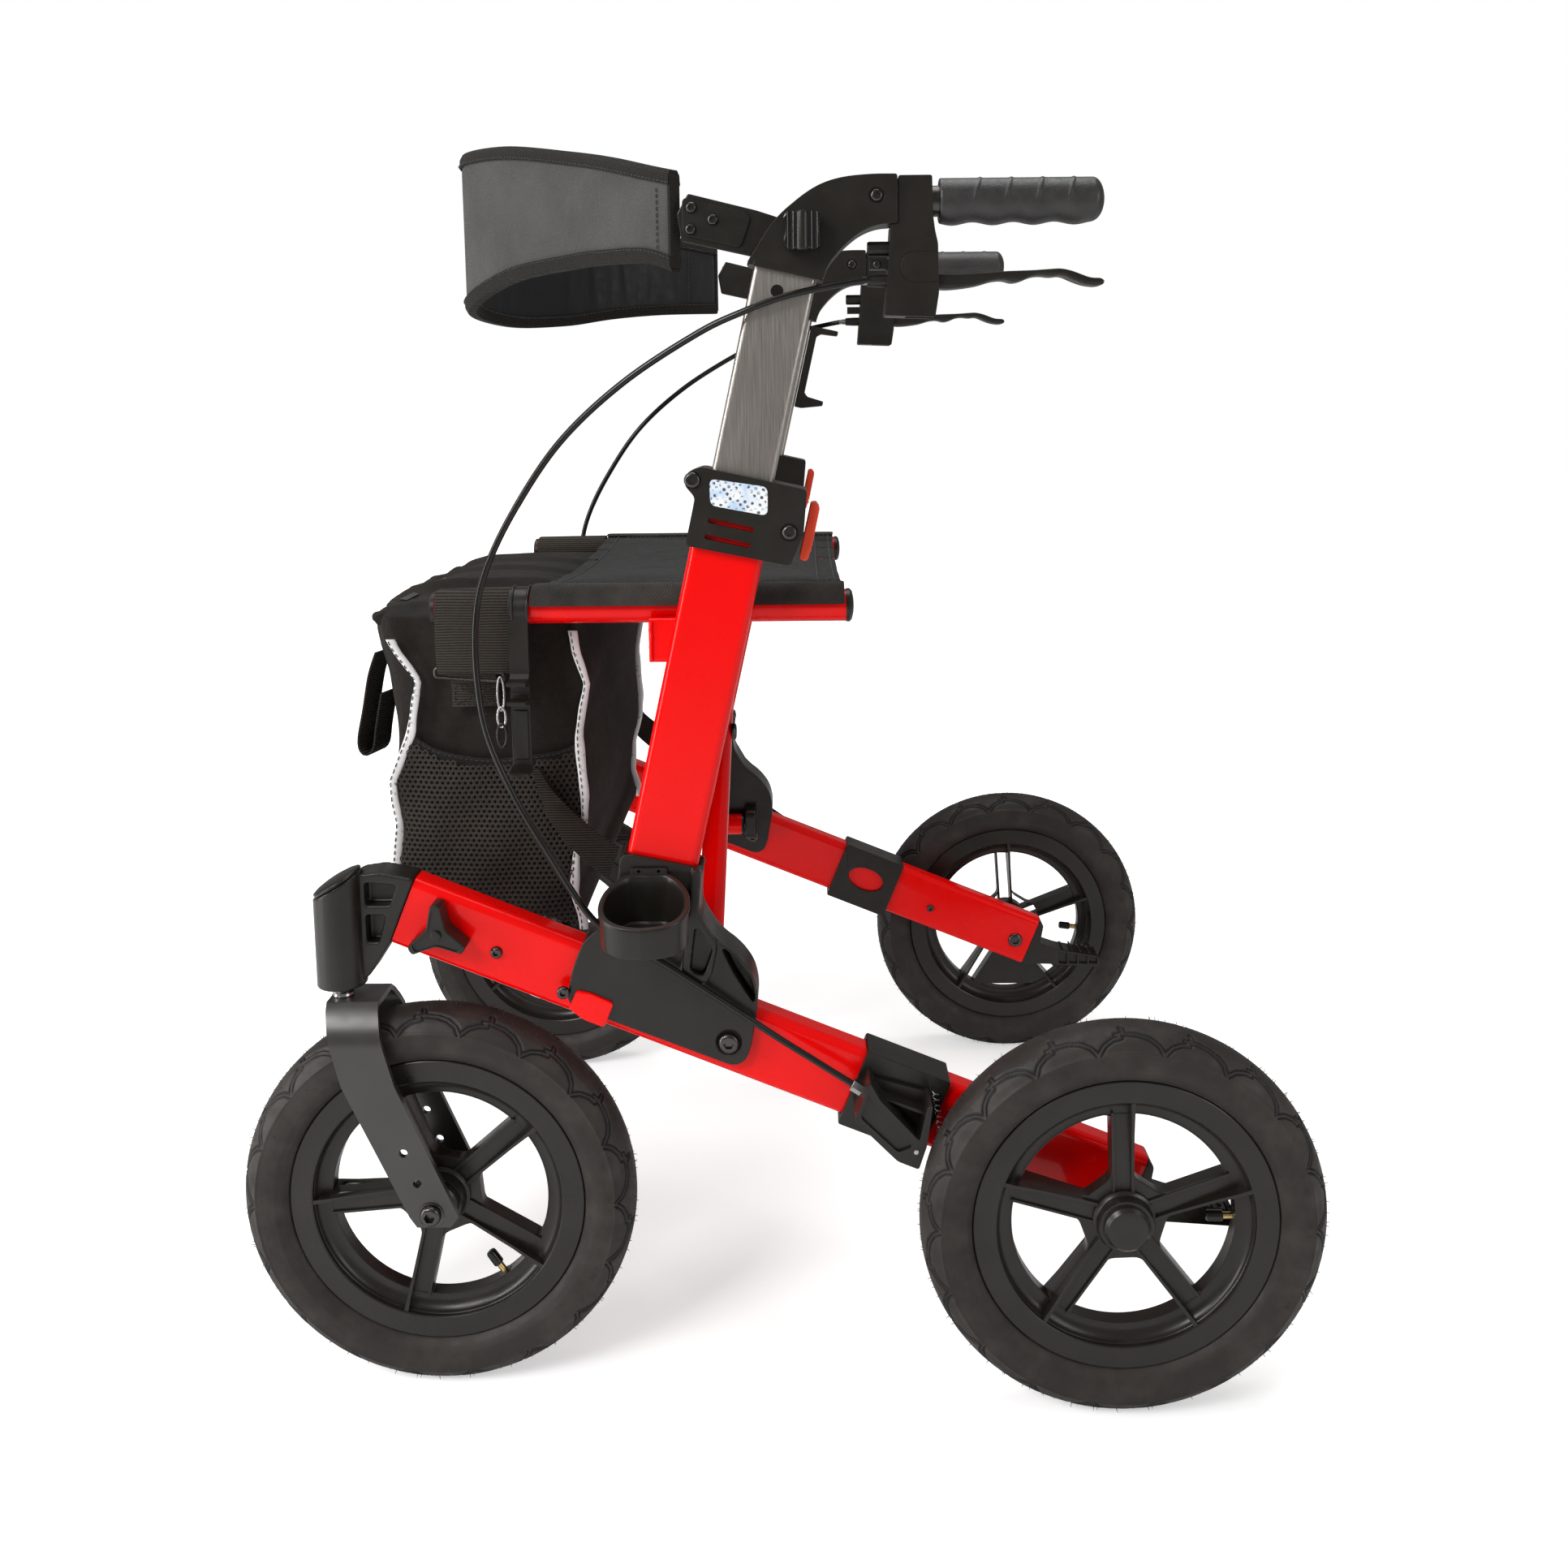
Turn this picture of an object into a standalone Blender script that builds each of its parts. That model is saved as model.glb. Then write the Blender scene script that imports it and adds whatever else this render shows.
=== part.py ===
"""All-terrain rollator: two side frames on four pneumatic wheels, joined by a folding cross brace.
The brace carries the seat and a bag, and a backrest band joins the handles.
Metres, +X forward, +Y to the user's left, +Z up, ground at z = 0."""

import math

import bmesh
import bpy
from mathutils import Vector

# wheels
TYRE_R = 0.1525
TYRE_W = 0.047
RIM_R = 0.1142
WINDOW_R = (0.034, 0.084)
SPOKE_W = 0.017
SPOKES = 5
SEGMENTS = 40
AXLE_R = 0.006
REAR_X, REAR_Y = -0.2615, 0.300
FRONT_X, FRONT_Y = 0.2615, 0.2605
CASTER_X = 0.3315

# side frame
FRAME_Y = 0.250
RAIL_SLOPE = math.radians(22.3)
RAIL_H, RAIL_W = 0.056, 0.026
RAIL_MID = Vector((-0.0609, 0.0, 0.2385))
RAIL_REAR, RAIL_FRONT = -0.2372, 0.3712
LEAN = math.radians(12.6)
UPRIGHT_D, UPRIGHT_W, UPRIGHT_WALL = 0.055, 0.027, 0.0025
UPRIGHT_FOOT = Vector((0.0831, 0.0, 0.4192))
UPRIGHT_SPAN = (-0.050, 0.262)
POST_D, POST_W = 0.0465, 0.020
POST_SPAN = (0.130, 0.4466)
PLUG = (0.0390, 0.0130)
GAP = 0.0004

# handle
GRIP_Z = 0.9058
GRIP_R = 0.0162
GRIP_SPAN = (-0.2445, -0.1262)
TUBE_R = 0.011
LEVER_PIVOT = (-0.1120, 0.8490)

# fold
SEAT_TUBE_R = 0.0125
SEAT_TUBE_Y, SEAT_TUBE_Z = 0.210, 0.6055
SEAT_TUBE_SPAN = (-0.0592, 0.2607)
BRACE_R = 0.011
BRACE_FOOT_Y, BRACE_FOOT_Z = 0.222, 0.295
BRACE_FOOT_SPAN = (0.046, 0.090)
BRACE_X = (0.0540, 0.0785)
PIN_R = 0.005

along = Vector((math.cos(RAIL_SLOPE), 0.0, math.sin(RAIL_SLOPE)))
above = Vector((-math.sin(RAIL_SLOPE), 0.0, math.cos(RAIL_SLOPE)))
up = Vector((-math.sin(LEAN), 0.0, math.cos(LEAN)))
ahead = Vector((math.cos(LEAN), 0.0, math.sin(LEAN)))
sideways = Vector((0.0, 1.0, 0.0))


def material(name, colour, roughness, metallic):
    mat = bpy.data.materials.new(name)
    mat.use_nodes = True
    shader = mat.node_tree.nodes["Principled BSDF"]
    shader.inputs["Base Color"].default_value = (*colour, 1.0)
    shader.inputs["Roughness"].default_value = roughness
    shader.inputs["Metallic"].default_value = metallic
    mat.diffuse_color = (*colour, 1.0)
    return mat


def make(name, shape, mat, origin=(0.0, 0.0, 0.0), smooth=False, helper=False):
    """One object from (points, faces), its points in world metres, its origin at the place given."""
    points, faces = shape
    mesh = bpy.data.meshes.new(name)
    mesh.from_pydata([Vector(p) - Vector(origin) for p in points], [], faces)
    bm = bmesh.new()
    bm.from_mesh(mesh)
    bmesh.ops.recalc_face_normals(bm, faces=bm.faces)
    for face in bm.faces:
        face.smooth = smooth and len(face.verts) <= 4
    bm.to_mesh(mesh)
    bm.free()
    obj = bpy.data.objects.new(name, mesh)
    obj.location = origin
    if mat:
        mesh.materials.append(mat)
    if helper:
        obj.hide_render = True
        obj.display_type = "WIRE"
    bpy.context.scene.collection.objects.link(obj)
    return obj


def combine(obj, shape, operation):
    """Adds to or cuts an object with another shape, which stays in the scene as a hidden helper."""
    count = len(obj.modifiers)
    tool = make(f"{obj.name}_{operation.lower()}_{count}", shape, None, obj.location, helper=True)
    step = obj.modifiers.new(f"{operation.lower()}_{count}", "BOOLEAN")
    step.operation = operation
    step.solver = "EXACT"
    step.object = tool
    return obj


def cut(obj, shape):
    return combine(obj, shape, "DIFFERENCE")


def join(obj, shape):
    return combine(obj, shape, "UNION")


def loft(rings):
    """A closed solid through rings of equal length, with a flat face at each end."""
    count = len(rings[0])
    points = [p for ring in rings for p in ring]
    faces = [tuple(range(count)), tuple(range(len(points) - count, len(points)))]
    for k in range(len(rings) - 1):
        for i in range(count):
            j = (i + 1) % count
            faces.append((k * count + i, k * count + j, (k + 1) * count + j, (k + 1) * count + i))
    return points, faces


def loop(rings):
    """A closed ring-shaped solid through rings of equal length, its last ring joined to its first."""
    count, turns = len(rings[0]), len(rings)
    points = [p for ring in rings for p in ring]
    faces = []
    for k in range(turns):
        n = (k + 1) % turns
        for i in range(count):
            j = (i + 1) % count
            faces.append((k * count + i, k * count + j, n * count + j, n * count + i))
    return points, faces


def plate(outline, low, high):
    """A flat plate whose (x, z) outline is thick from y = low to y = high."""
    return loft([[(x, y, z) for x, z in outline] for y in (low, high)])


def arc(centre, radius, start, end, count):
    """Points (x, z) on an arc, angles in degrees from +X towards +Z."""
    turn = [math.radians(start + (end - start) * i / (count - 1)) for i in range(count)]
    return [(centre[0] + radius * math.cos(a), centre[1] + radius * math.sin(a)) for a in turn]


def rounded(width, height, corner, steps=3):
    """A rounded rectangle round the origin, as (u, v) pairs."""
    half_u, half_v = width / 2 - corner, height / 2 - corner
    places = ((half_u, half_v, 0), (-half_u, half_v, 90), (-half_u, -half_v, 180), (half_u, -half_v, 270))
    return [p for u, v, turn in places for p in arc((u, v), corner, turn, turn + 90, steps)]


def bar(start, end, section, first, second):
    """A straight bar with a section of (u, v) pairs, u along the first direction and v along the second."""
    return loft([[p + first * u + second * v for u, v in section] for p in (Vector(start), Vector(end))])


def circle(radius, count):
    turns = [2 * math.pi * (i + 0.5) / count for i in range(count)]
    return [(radius * math.cos(a), radius * math.sin(a)) for a in turns]


def rod(start, end, radius, count=16):
    start, end = Vector(start), Vector(end)
    axis = (end - start).normalized()
    first = axis.cross(sideways)
    if first.length < 0.1:
        first = Vector((1.0, 0.0, 0.0))
    first.normalize()
    return bar(start, end, circle(radius, count), first, axis.cross(first))


def turned(place, profile, count=20):
    """A solid turned about the Y axis through a place, from (y, radius) pairs that leave no hole."""
    return loft([
        [(place[0] + u, place[1] + y, place[2] + v) for u, v in circle(radius, count)]
        for y, radius in profile
    ])


def box(low, high):
    corners = [(low[0], low[2]), (high[0], low[2]), (high[0], high[2]), (low[0], high[2])]
    return plate(corners, low[1], high[1])


def swap(shape, side):
    """The shape itself on the left, its mirror image on the right."""
    return [(p[0], p[1] * side, p[2]) for p in shape[0]], shape[1]


def rail_at(distance, rise=0.0):
    p = RAIL_MID + along * distance + above * rise
    return p.x, p.z


def upright_at(forward, height):
    p = UPRIGHT_FOOT + ahead * forward + up * height
    return p.x, p.z


def on_plane(pair, y=FRAME_Y):
    return Vector((pair[0], y, pair[1]))


def wheel_rim(centre, side, turn, hub, bore_end):
    """A spoked rim as bands of a polar grid: each band has its own two faces, and one band has windows."""
    low, high = hub
    bands = [
        (0.0, 0.0065, bore_end, high),
        (0.0065, 0.020, low, high),
        (0.020, WINDOW_R[0], -0.006, 0.008),
        (WINDOW_R[0], WINDOW_R[1], -0.006, 0.008),
        (WINDOW_R[1], 0.0967, -0.0120, 0.0120),
        (0.0967, RIM_R, -0.0166, 0.0166),
    ]
    if bore_end is None:
        bands = bands[1:]
    per_spoke = SEGMENTS // SPOKES
    place, points, faces = {}, [], []

    def angle(column, radius):
        spoke, step = divmod(column, per_spoke)
        pitch = 2 * math.pi / SPOKES
        half = math.asin(SPOKE_W / 2 / max(radius, WINDOW_R[0]))
        inside = -half if step == 0 else half + (pitch - 2 * half) * (step - 1) / (per_spoke - 1)
        return math.radians(turn) + spoke * pitch + inside

    def corner(radius, column, level):
        column %= SEGMENTS
        key = (radius, column if radius else 0, level)
        if key not in place:
            a = angle(column, radius)
            place[key] = len(points)
            points.append((
                centre[0] + radius * math.cos(a),
                centre[1] + side * level,
                centre[2] + radius * math.sin(a),
            ))
        return place[key]

    def solid(band, column):
        return 0 <= band < len(bands) and (bands[band][0] != WINDOW_R[0] or column % per_spoke == 0)

    for column in range(SEGMENTS):
        for k, (inner, outer, lo, hi) in enumerate(bands):
            if solid(k, column):
                for level in (lo, hi):
                    face = [corner(inner, column, level), corner(outer, column, level)]
                    face += [corner(outer, column + 1, level), corner(inner, column + 1, level)]
                    faces.append(tuple(dict.fromkeys(face)))
            if solid(k, column) != solid(k, column - 1):
                faces.append((
                    corner(inner, column, lo),
                    corner(outer, column, lo),
                    corner(outer, column, hi),
                    corner(inner, column, hi),
                ))
        edges = [bands[0][0]] + [b[1] for b in bands]
        for k, radius in enumerate(edges):
            if radius == 0:
                continue
            pair = [bands[n][2:] if solid(n, column) else None for n in (k - 1, k)]
            near = [bands[n][2:] for n in (k - 1, k) if 0 <= n < len(bands)]
            levels = sorted({v for span in near for v in span})
            for lo, hi in zip(levels, levels[1:]):
                filled = [span is not None and span[0] <= lo and hi <= span[1] for span in pair]
                if filled[0] != filled[1]:
                    faces.append((
                        corner(radius, column, lo),
                        corner(radius, column + 1, lo),
                        corner(radius, column + 1, hi),
                        corner(radius, column, hi),
                    ))
    return points, faces


def tyre(centre):
    """A tyre as a ring of flat-bottomed facets, so that the part stands on the middle one."""
    half = [(0.1146, 0.0155), (0.1215, 0.0208), (0.1300, TYRE_W / 2), (0.1390, 0.0230), (0.1475, 0.0165),
            (TYRE_R, 0.0080)]
    section = half + [(r, -y) for r, y in reversed(half)]
    stretch = 1 / math.cos(math.pi / SEGMENTS)
    rings = []
    for k in range(SEGMENTS):
        a = 2 * math.pi * (k + 0.5) / SEGMENTS - math.pi / 2
        rings.append([
            (centre[0] + r * stretch * math.cos(a), centre[1] + y, centre[2] + r * stretch * math.sin(a))
            for r, y in section
        ])
    return loop(rings)


def star(centre, lobes, outer, inner, start):
    """A lobed outline, as (x, z) pairs."""
    outline = []
    for k in range(lobes):
        for offset, radius in ((-11, outer * 0.96), (11, outer * 0.96), (60 * 3 / lobes, inner)):
            a = math.radians(start + 360 * k / lobes + offset)
            outline.append((centre[0] + radius * math.cos(a), centre[1] + radius * math.sin(a)))
    return outline


def cable(name, points, mat, side):
    """A round cord through the points, with a rounded bend at each."""
    path = [Vector(p) for p in points]
    fine = [path[0]]
    for a, b, c, d in zip([path[0]] + path, path, path[1:], path[2:] + [path[-1]]):
        steps = max(1, round((c - b).length / 0.014))
        for i in range(1, steps + 1):
            t = i / steps
            bend = 2 * b + (c - a) * t + (2 * a - 5 * b + 4 * c - d) * t**2 + (3 * b - a - 3 * c + d) * t**3
            fine.append(bend / 2)
    curve = bpy.data.curves.new(name, "CURVE")
    curve.dimensions = "3D"
    curve.bevel_depth = 0.0025
    curve.bevel_resolution = 2
    curve.use_fill_caps = True
    spline = curve.splines.new("POLY")
    spline.points.add(len(fine) - 1)
    for point, p in zip(spline.points, fine):
        point.co = (p.x, p.y * side, p.z, 1.0)
    curve.materials.append(mat)
    bpy.context.scene.collection.objects.link(bpy.data.objects.new(name, curve))


def side_frame(side, tag):
    """The fixed pieces of one side: rail, upright, mouldings and brake bracket."""
    rail_section = rounded(RAIL_H, RAIL_W, 0.007)
    start, end = on_plane(rail_at(RAIL_REAR)), on_plane(rail_at(RAIL_FRONT))
    make(f"rail_{tag}", swap(bar(start, end, rail_section, above, sideways), side), red)

    rail_room = bar(
        on_plane(rail_at(-0.12)), on_plane(rail_at(RAIL_FRONT + 0.02)),
        rounded(RAIL_H + 2 * GAP, RAIL_W + 2 * GAP, 0.007 + GAP), above, sideways,
    )
    outer = rounded(UPRIGHT_D, UPRIGHT_W, 0.006)
    low, high = [on_plane(upright_at(0, t)) for t in UPRIGHT_SPAN]
    upright = make(f"upright_{tag}", swap(bar(low, high, outer, ahead, sideways), side), red)
    saddle = [
        (0.2372, 0.566), (0.2372, 0.600), (0.2235, 0.600),
        (0.2205, 0.5965), (0.2195, 0.5945), (0.2195, 0.580),
    ]
    join(upright, swap(loft([[(x, y, z) for y, z in saddle] for x in (0.0600, 0.0927)]), side))
    wall = rounded(UPRIGHT_D - 2 * UPRIGHT_WALL, UPRIGHT_W - 2 * UPRIGHT_WALL, 0.0035)
    core = bar(low - up * 0.002, high + up * 0.002, wall, ahead, sideways)
    cut(upright, swap(core, side))

    knuckle_outline = [
        (0.1145, 0.4273), (0.0528, 0.4140), (0.0554, 0.3795), (0.0417, 0.3550), (0.0254, 0.3426),
        (0.0127, 0.3228), (0.0122, 0.3030), (0.0193, 0.2656), (0.0314, 0.2569), (0.1585, 0.3077),
        (0.1539, 0.3330), (0.1440, 0.3582), (0.1262, 0.3720), (0.1172, 0.4000),
    ]
    knuckle = make(f"frame_knuckle_{tag}", swap(plate(knuckle_outline, 0.2345, 0.2720), side), plastic)
    for x in ((0.0300, 0.0418), (0.0910, 0.1025)):
        join(knuckle, swap(box((x[0], 0.2140, 0.2800), (x[1], 0.2360, 0.3100)), side))
    cut(knuckle, swap(rail_room, side))
    room = rounded(UPRIGHT_D + 2 * GAP, UPRIGHT_W + 2 * GAP, 0.006 + GAP)
    socket = bar(low - up * GAP, high, room, ahead, sideways)
    cut(knuckle, swap(socket, side))
    pin = rod((0.0280, BRACE_FOOT_Y, BRACE_FOOT_Z), (0.1060, BRACE_FOOT_Y, BRACE_FOOT_Z), PIN_R + 0.0004, 12)
    cut(knuckle, swap(pin, side))

    head_plate = [
        rail_at(RAIL_FRONT + GAP, 0.0280), (0.3000, 0.4110), (0.3200, 0.4080), (0.3315, 0.3980),
        (0.3315, 0.3400),
        (0.3190, 0.3272), (0.3107, 0.3272), rail_at(RAIL_FRONT + GAP, -0.0270),
    ]
    ring = [(CASTER_X + u, FRONT_Y + v) for u, v in circle(0.0187, 20)]
    lid = [(x, y, 0.4126 - 0.58 * (x - 0.3145)) for x, y in ring]
    head = make(f"caster_head_{tag}", swap(loft([[(x, y, 0.3225) for x, y in ring], lid]), side), plastic)
    join(head, swap(plate(head_plate, FRAME_Y - 0.0125, FRAME_Y + 0.0135), side))
    cut(head, swap(rod((CASTER_X, FRONT_Y, 0.30), (CASTER_X, FRONT_Y, 0.3855), 0.0094, 16), side))

    rim_line = [(0.0590, 0.2723), (0.0590, 0.2930)]
    rim_line += [(0.0926 + x, 0.2930 + y) for x, y in arc((0, 0), 0.0336, 172, 8, 9)]
    rim_line += [(0.1262, 0.2930), (0.1262, 0.2723)]
    rim_line = [(x, 0.2930 + (y - 0.2930) * 1.24 if y > 0.2930 else y) for x, y in rim_line]
    middle = (0.0926, 0.3020)
    hollow = [(middle[0] + (x - middle[0]) * 0.89, middle[1] + (y - middle[1]) * 0.89) for x, y in rim_line]
    top, floor = 0.4120, 0.3725
    cup = loft([
        [(x, y, floor - 0.08 * (y - 0.2725)) for x, y in rim_line],
        [(x, y, top - 0.35 * (y - 0.2725)) for x, y in rim_line],
        [(x, y, top - 0.35 * (y - 0.2725)) for x, y in hollow],
        [(x, y, floor + 0.003 - 0.08 * (y - 0.2725)) for x, y in hollow],
    ])
    make(f"cane_cup_{tag}", swap(cup, side), plastic)

    clamp_outline = [
        (0.0292, 0.2390), (0.0305, 0.2434), (0.0305, 0.2750), (0.0395, 0.2820), (0.0395, 0.2920),
        (0.0305, 0.2977), (-0.0484, 0.2975), (-0.0525, 0.2670), (-0.0481, 0.2405),
    ]
    clamp = make(
        f"height_clamp_{tag}",
        swap(plate([upright_at(*p) for p in clamp_outline], 0.2335, 0.2700), side),
        plastic,
    )
    cut(clamp, swap(bar(on_plane(upright_at(0, 0.20)), high + up * GAP, room, ahead, sideways), side))
    post_room = rounded(POST_D + 2 * GAP, POST_W + 2 * GAP, 0.0045)
    ends = [on_plane(upright_at(0, t)) for t in (0.22, 0.34)]
    cut(clamp, swap(bar(*ends, post_room, ahead, sideways), side))

    sleeve = [rail_at(s, n) for s, n in ((0, -0.0330), (0, 0.0305), (-0.069, 0.0305), (-0.069, -0.0330))]
    bracket = make(f"brake_bracket_{tag}", swap(plate(sleeve, 0.2335, 0.2668), side), plastic)
    cut(bracket, swap(rail_room, side))

    pedal = [
        rail_at(RAIL_REAR - 0.0004, 0.0270), rail_at(RAIL_REAR - 0.0064, 0.0240), (-0.2915, 0.1470),
        (-0.3110, 0.1400), (-0.3595, 0.1310), (-0.3600, 0.1180), (-0.3020, 0.1225),
        rail_at(RAIL_REAR - 0.0004, -0.0270),
    ]
    make(f"tip_pedal_{tag}", swap(plate(pedal, FRAME_Y - 0.0125, FRAME_Y + 0.0125), side), plastic)
    axle = [(-0.0366, 0.011), (-0.0290, 0.011), (-0.0290, AXLE_R), (0.0080, AXLE_R)]
    place = (REAR_X, REAR_Y, TYRE_R)
    make(f"rear_axle_{tag}", swap(turned(place, axle, 12), side), steel, smooth=True)


def handle(side, tag):
    """The pieces that slide with one height post."""
    low, high = [on_plane(upright_at(0, t)) for t in POST_SPAN]
    shape = bar(low, high, rounded(POST_D, POST_W, 0.004), ahead, sideways)
    post = make(f"post_{tag}", swap(shape, side), aluminium)
    pocket = rounded(PLUG[0] + 2 * GAP, PLUG[1] + 2 * GAP, 0.003 + GAP)
    cut(post, swap(bar(high - up * 0.0350, high + up * 0.002, pocket, ahead, sideways), side))

    curve = [
        upright_at(0.0278, 0.4470), (0.0095, 0.8670), (0.0040, 0.8759), (-0.0023, 0.8860), (-0.0118, 0.8970),
        (-0.0294, 0.9109), (-0.0419, 0.9178), (-0.0564, 0.9217), (-0.0769, 0.9235), (-0.0951, 0.9233),
        (-0.0954, 0.8890), (-0.0810, 0.8883), (-0.0686, 0.8833), (-0.0561, 0.8733), (-0.0450, 0.8600),
        upright_at(-0.0278, 0.4470),
    ]
    arm = make(f"handle_arm_{tag}", swap(plate(curve, 0.2340, 0.2660), side), plastic)
    join(arm, swap(rod((-0.0850, FRAME_Y, GRIP_Z), (-0.2400, FRAME_Y, GRIP_Z), TUBE_R, 16), side))
    plug = bar(high - up * 0.0345, high + up * 0.006, rounded(*PLUG, 0.003), ahead, sideways)
    join(arm, swap(plug, side))

    rear, front = GRIP_SPAN
    steps, around = 16, 16
    rings = []
    for k in range(steps + 1):
        x = front + (rear - front) * k / steps
        swell = 0.0011 * math.cos(2 * math.pi * 4 * k / steps)
        shrink = 0.88 if k in (0, steps) else 1.0
        rings.append([
            (x, FRAME_Y + u * shrink, GRIP_Z + v * shrink + (swell if v < 0 else 0))
            for u, v in circle(GRIP_R, around)
        ])
    inside = circle(TUBE_R + 0.0003, around)
    bore = [[(x, FRAME_Y + u, GRIP_Z + v) for u, v in inside] for x in (-0.2404, front)]
    make(f"grip_{tag}", swap(loft(bore + rings), side), rubber, smooth=True)

    housing = [
        (-0.0958, 0.9225), (-0.1200, 0.9225), (-0.1207, 0.8929), (-0.1244, 0.8746), (-0.1252, 0.8400),
        (-0.1226, 0.8226), (-0.0861, 0.8240), (-0.0905, 0.8886), (-0.0958, 0.8890),
    ]
    brake = make(f"brake_housing_{tag}", swap(plate(housing, 0.2360, 0.2640), side), plastic)
    cut(brake, swap(rod((-0.0700, FRAME_Y, GRIP_Z), (-0.1400, FRAME_Y, GRIP_Z), TUBE_R + 0.0003, 16), side))
    cut(brake, swap(box((-0.1400, 0.2404, 0.8100), (-0.1020, 0.2596, 0.8640)), side))

    px, pz = LEVER_PIVOT
    blade = [
        *arc((px, pz), 0.0060, 75, -75, 7), *arc((px, pz), 0.0060, 260, 225, 2),
        (-0.1282, 0.8425), (-0.1536, 0.8451), (-0.1725, 0.8490), (-0.1852, 0.8479), (-0.1996, 0.8520),
        (-0.2144, 0.8520), (-0.2316, 0.8449), (-0.2440, 0.8448), (-0.2455, 0.8495), (-0.2357, 0.8500),
        (-0.2230, 0.8548), (-0.2143, 0.8570), (-0.1937, 0.8557), (-0.1746, 0.8553), (-0.1406, 0.8535),
        (-0.1267, 0.8537),
    ]
    make(f"brake_lever_{tag}", swap(plate(blade, 0.2412, 0.2588), side), plastic,
         origin=(px, FRAME_Y * side, pz))

    bracket = [
        (0.0557, 0.9134), (0.0060, 0.9010), (-0.0100, 0.8958), (-0.0015, 0.8862), (0.0046, 0.8765),
        (0.0102, 0.8684), (0.0610, 0.8798), (0.0641, 0.8987),
    ]
    make(f"backrest_bracket_{tag}", swap(plate(bracket, 0.2430, 0.2490), side), plastic)
    knob = star((-0.0270, 0.8830), 4, 0.0168, 0.0118, 45)
    make(
        f"backrest_knob_{tag}", swap(plate(knob, 0.2664, 0.2830), side), plastic,
        origin=(-0.0270, 0.2664 * side, 0.8830),
    )


def small_movers(side, tag):
    """The clamp's release lever, the rail knob and the brake arm."""
    tail = (-0.0567, 0.2485)
    lever = [(-0.0532, 0.2485), (-0.0532, 0.2880), (-0.0605, 0.2880), (-0.0605, 0.2485)]
    lever += [(tail[0] + 0.0036 * math.cos(a), tail[1] + 0.0036 * math.sin(a)) for a in (-2.6, -1.57, -0.6)]
    px, pz = upright_at(*tail)
    make(f"clamp_lever_{tag}", swap(plate([upright_at(*p) for p in lever], 0.2390, 0.2610), side), red,
         origin=(px, FRAME_Y * side, pz))

    centre = (0.2528, 0.3672)
    knob = star(centre, 3, 0.0240, 0.0085, 90)
    make(
        f"rail_knob_{tag}", swap(plate(knob, 0.2642, 0.2830), side), plastic,
        origin=(centre[0], 0.2642 * side, centre[1]),
    )

    shoe = [
        (-0.0725, 0.2560), (-0.0605, 0.2265), (-0.0930, 0.1935), (-0.1090, 0.1868), (-0.1152, 0.2060),
        (-0.1195, 0.2375), (-0.1155, 0.2375), (-0.1095, 0.2095), (-0.0800, 0.2420),
    ]
    make(
        f"brake_arm_{tag}", swap(plate(shoe, 0.2672, 0.2960), side), plastic,
        origin=(-0.0780, FRAME_Y * side, 0.2500),
    )


def wheels(side, tag, rear_turn, front_turn):
    centre = (REAR_X, REAR_Y * side, TYRE_R)
    rim = wheel_rim(centre, side, rear_turn, (-0.0225, 0.0235), 0.0100)
    make(f"rear_rim_{tag}", rim, plastic, origin=centre)
    make(f"rear_tyre_{tag}", tyre(centre), tyre_rubber, origin=centre, smooth=True)

    centre = (FRONT_X, FRONT_Y * side, TYRE_R)
    rim = wheel_rim(centre, side, front_turn, (-0.0270, 0.0270), None)
    make(f"front_rim_{tag}", rim, plastic, origin=centre)
    make(f"front_tyre_{tag}", tyre(centre), tyre_rubber, origin=centre, smooth=True)

    arm = [
        (0.0325, 0.1420, 0.2469, 0.2724), (0.0325, 0.1500, 0.2405, 0.2778), (0.0325, 0.2548, 0.2848, 0.3251),
        (0.0325, 0.2880, 0.2935, 0.3330), (0.0255, 0.3000, 0.2965, 0.3360), (0.0165, 0.3120, 0.2995, 0.3390),
    ]
    path = [(y, z, a, b) for y, z, a, b in arm] + [(-y, z, a, b) for y, z, a, b in reversed(arm)]
    rings = []
    for k, (y, z, a, b) in enumerate(path):
        before, after = path[max(k - 1, 0)], path[min(k + 1, len(path) - 1)]
        step = Vector((after[0] - before[0], after[1] - before[1])).normalized()
        normal = Vector((-step.y, step.x)) * 0.00225
        rings.append([
            (x, FRONT_Y * side + y + normal.x * sign, z + normal.y * sign)
            for x, sign in ((a, 1), (b, 1), (b, -1), (a, -1))
        ])
    fork = make(f"caster_fork_{tag}", loft(rings), steel_black, origin=(CASTER_X, FRONT_Y * side, 0.3120))
    join(fork, rod((CASTER_X, FRONT_Y * side, 0.3115), (CASTER_X, FRONT_Y * side, 0.3850), 0.0090, 16))
    reach = FRONT_Y * side
    cut(fork, rod((FRONT_X, reach - 0.05, TYRE_R), (FRONT_X, reach + 0.05, TYRE_R), AXLE_R + 0.0003, 12))
    bolt = [(-0.0405, 0.0090), (-0.0353, 0.0090), (-0.0353, AXLE_R), (0.0353, AXLE_R), (0.0353, 0.0095),
            (0.0405, 0.0095)]
    shape = turned(centre, [(y * side, r) for y, r in bolt], 12)
    make(f"front_axle_{tag}", shape, steel, origin=centre, smooth=True)


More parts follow.
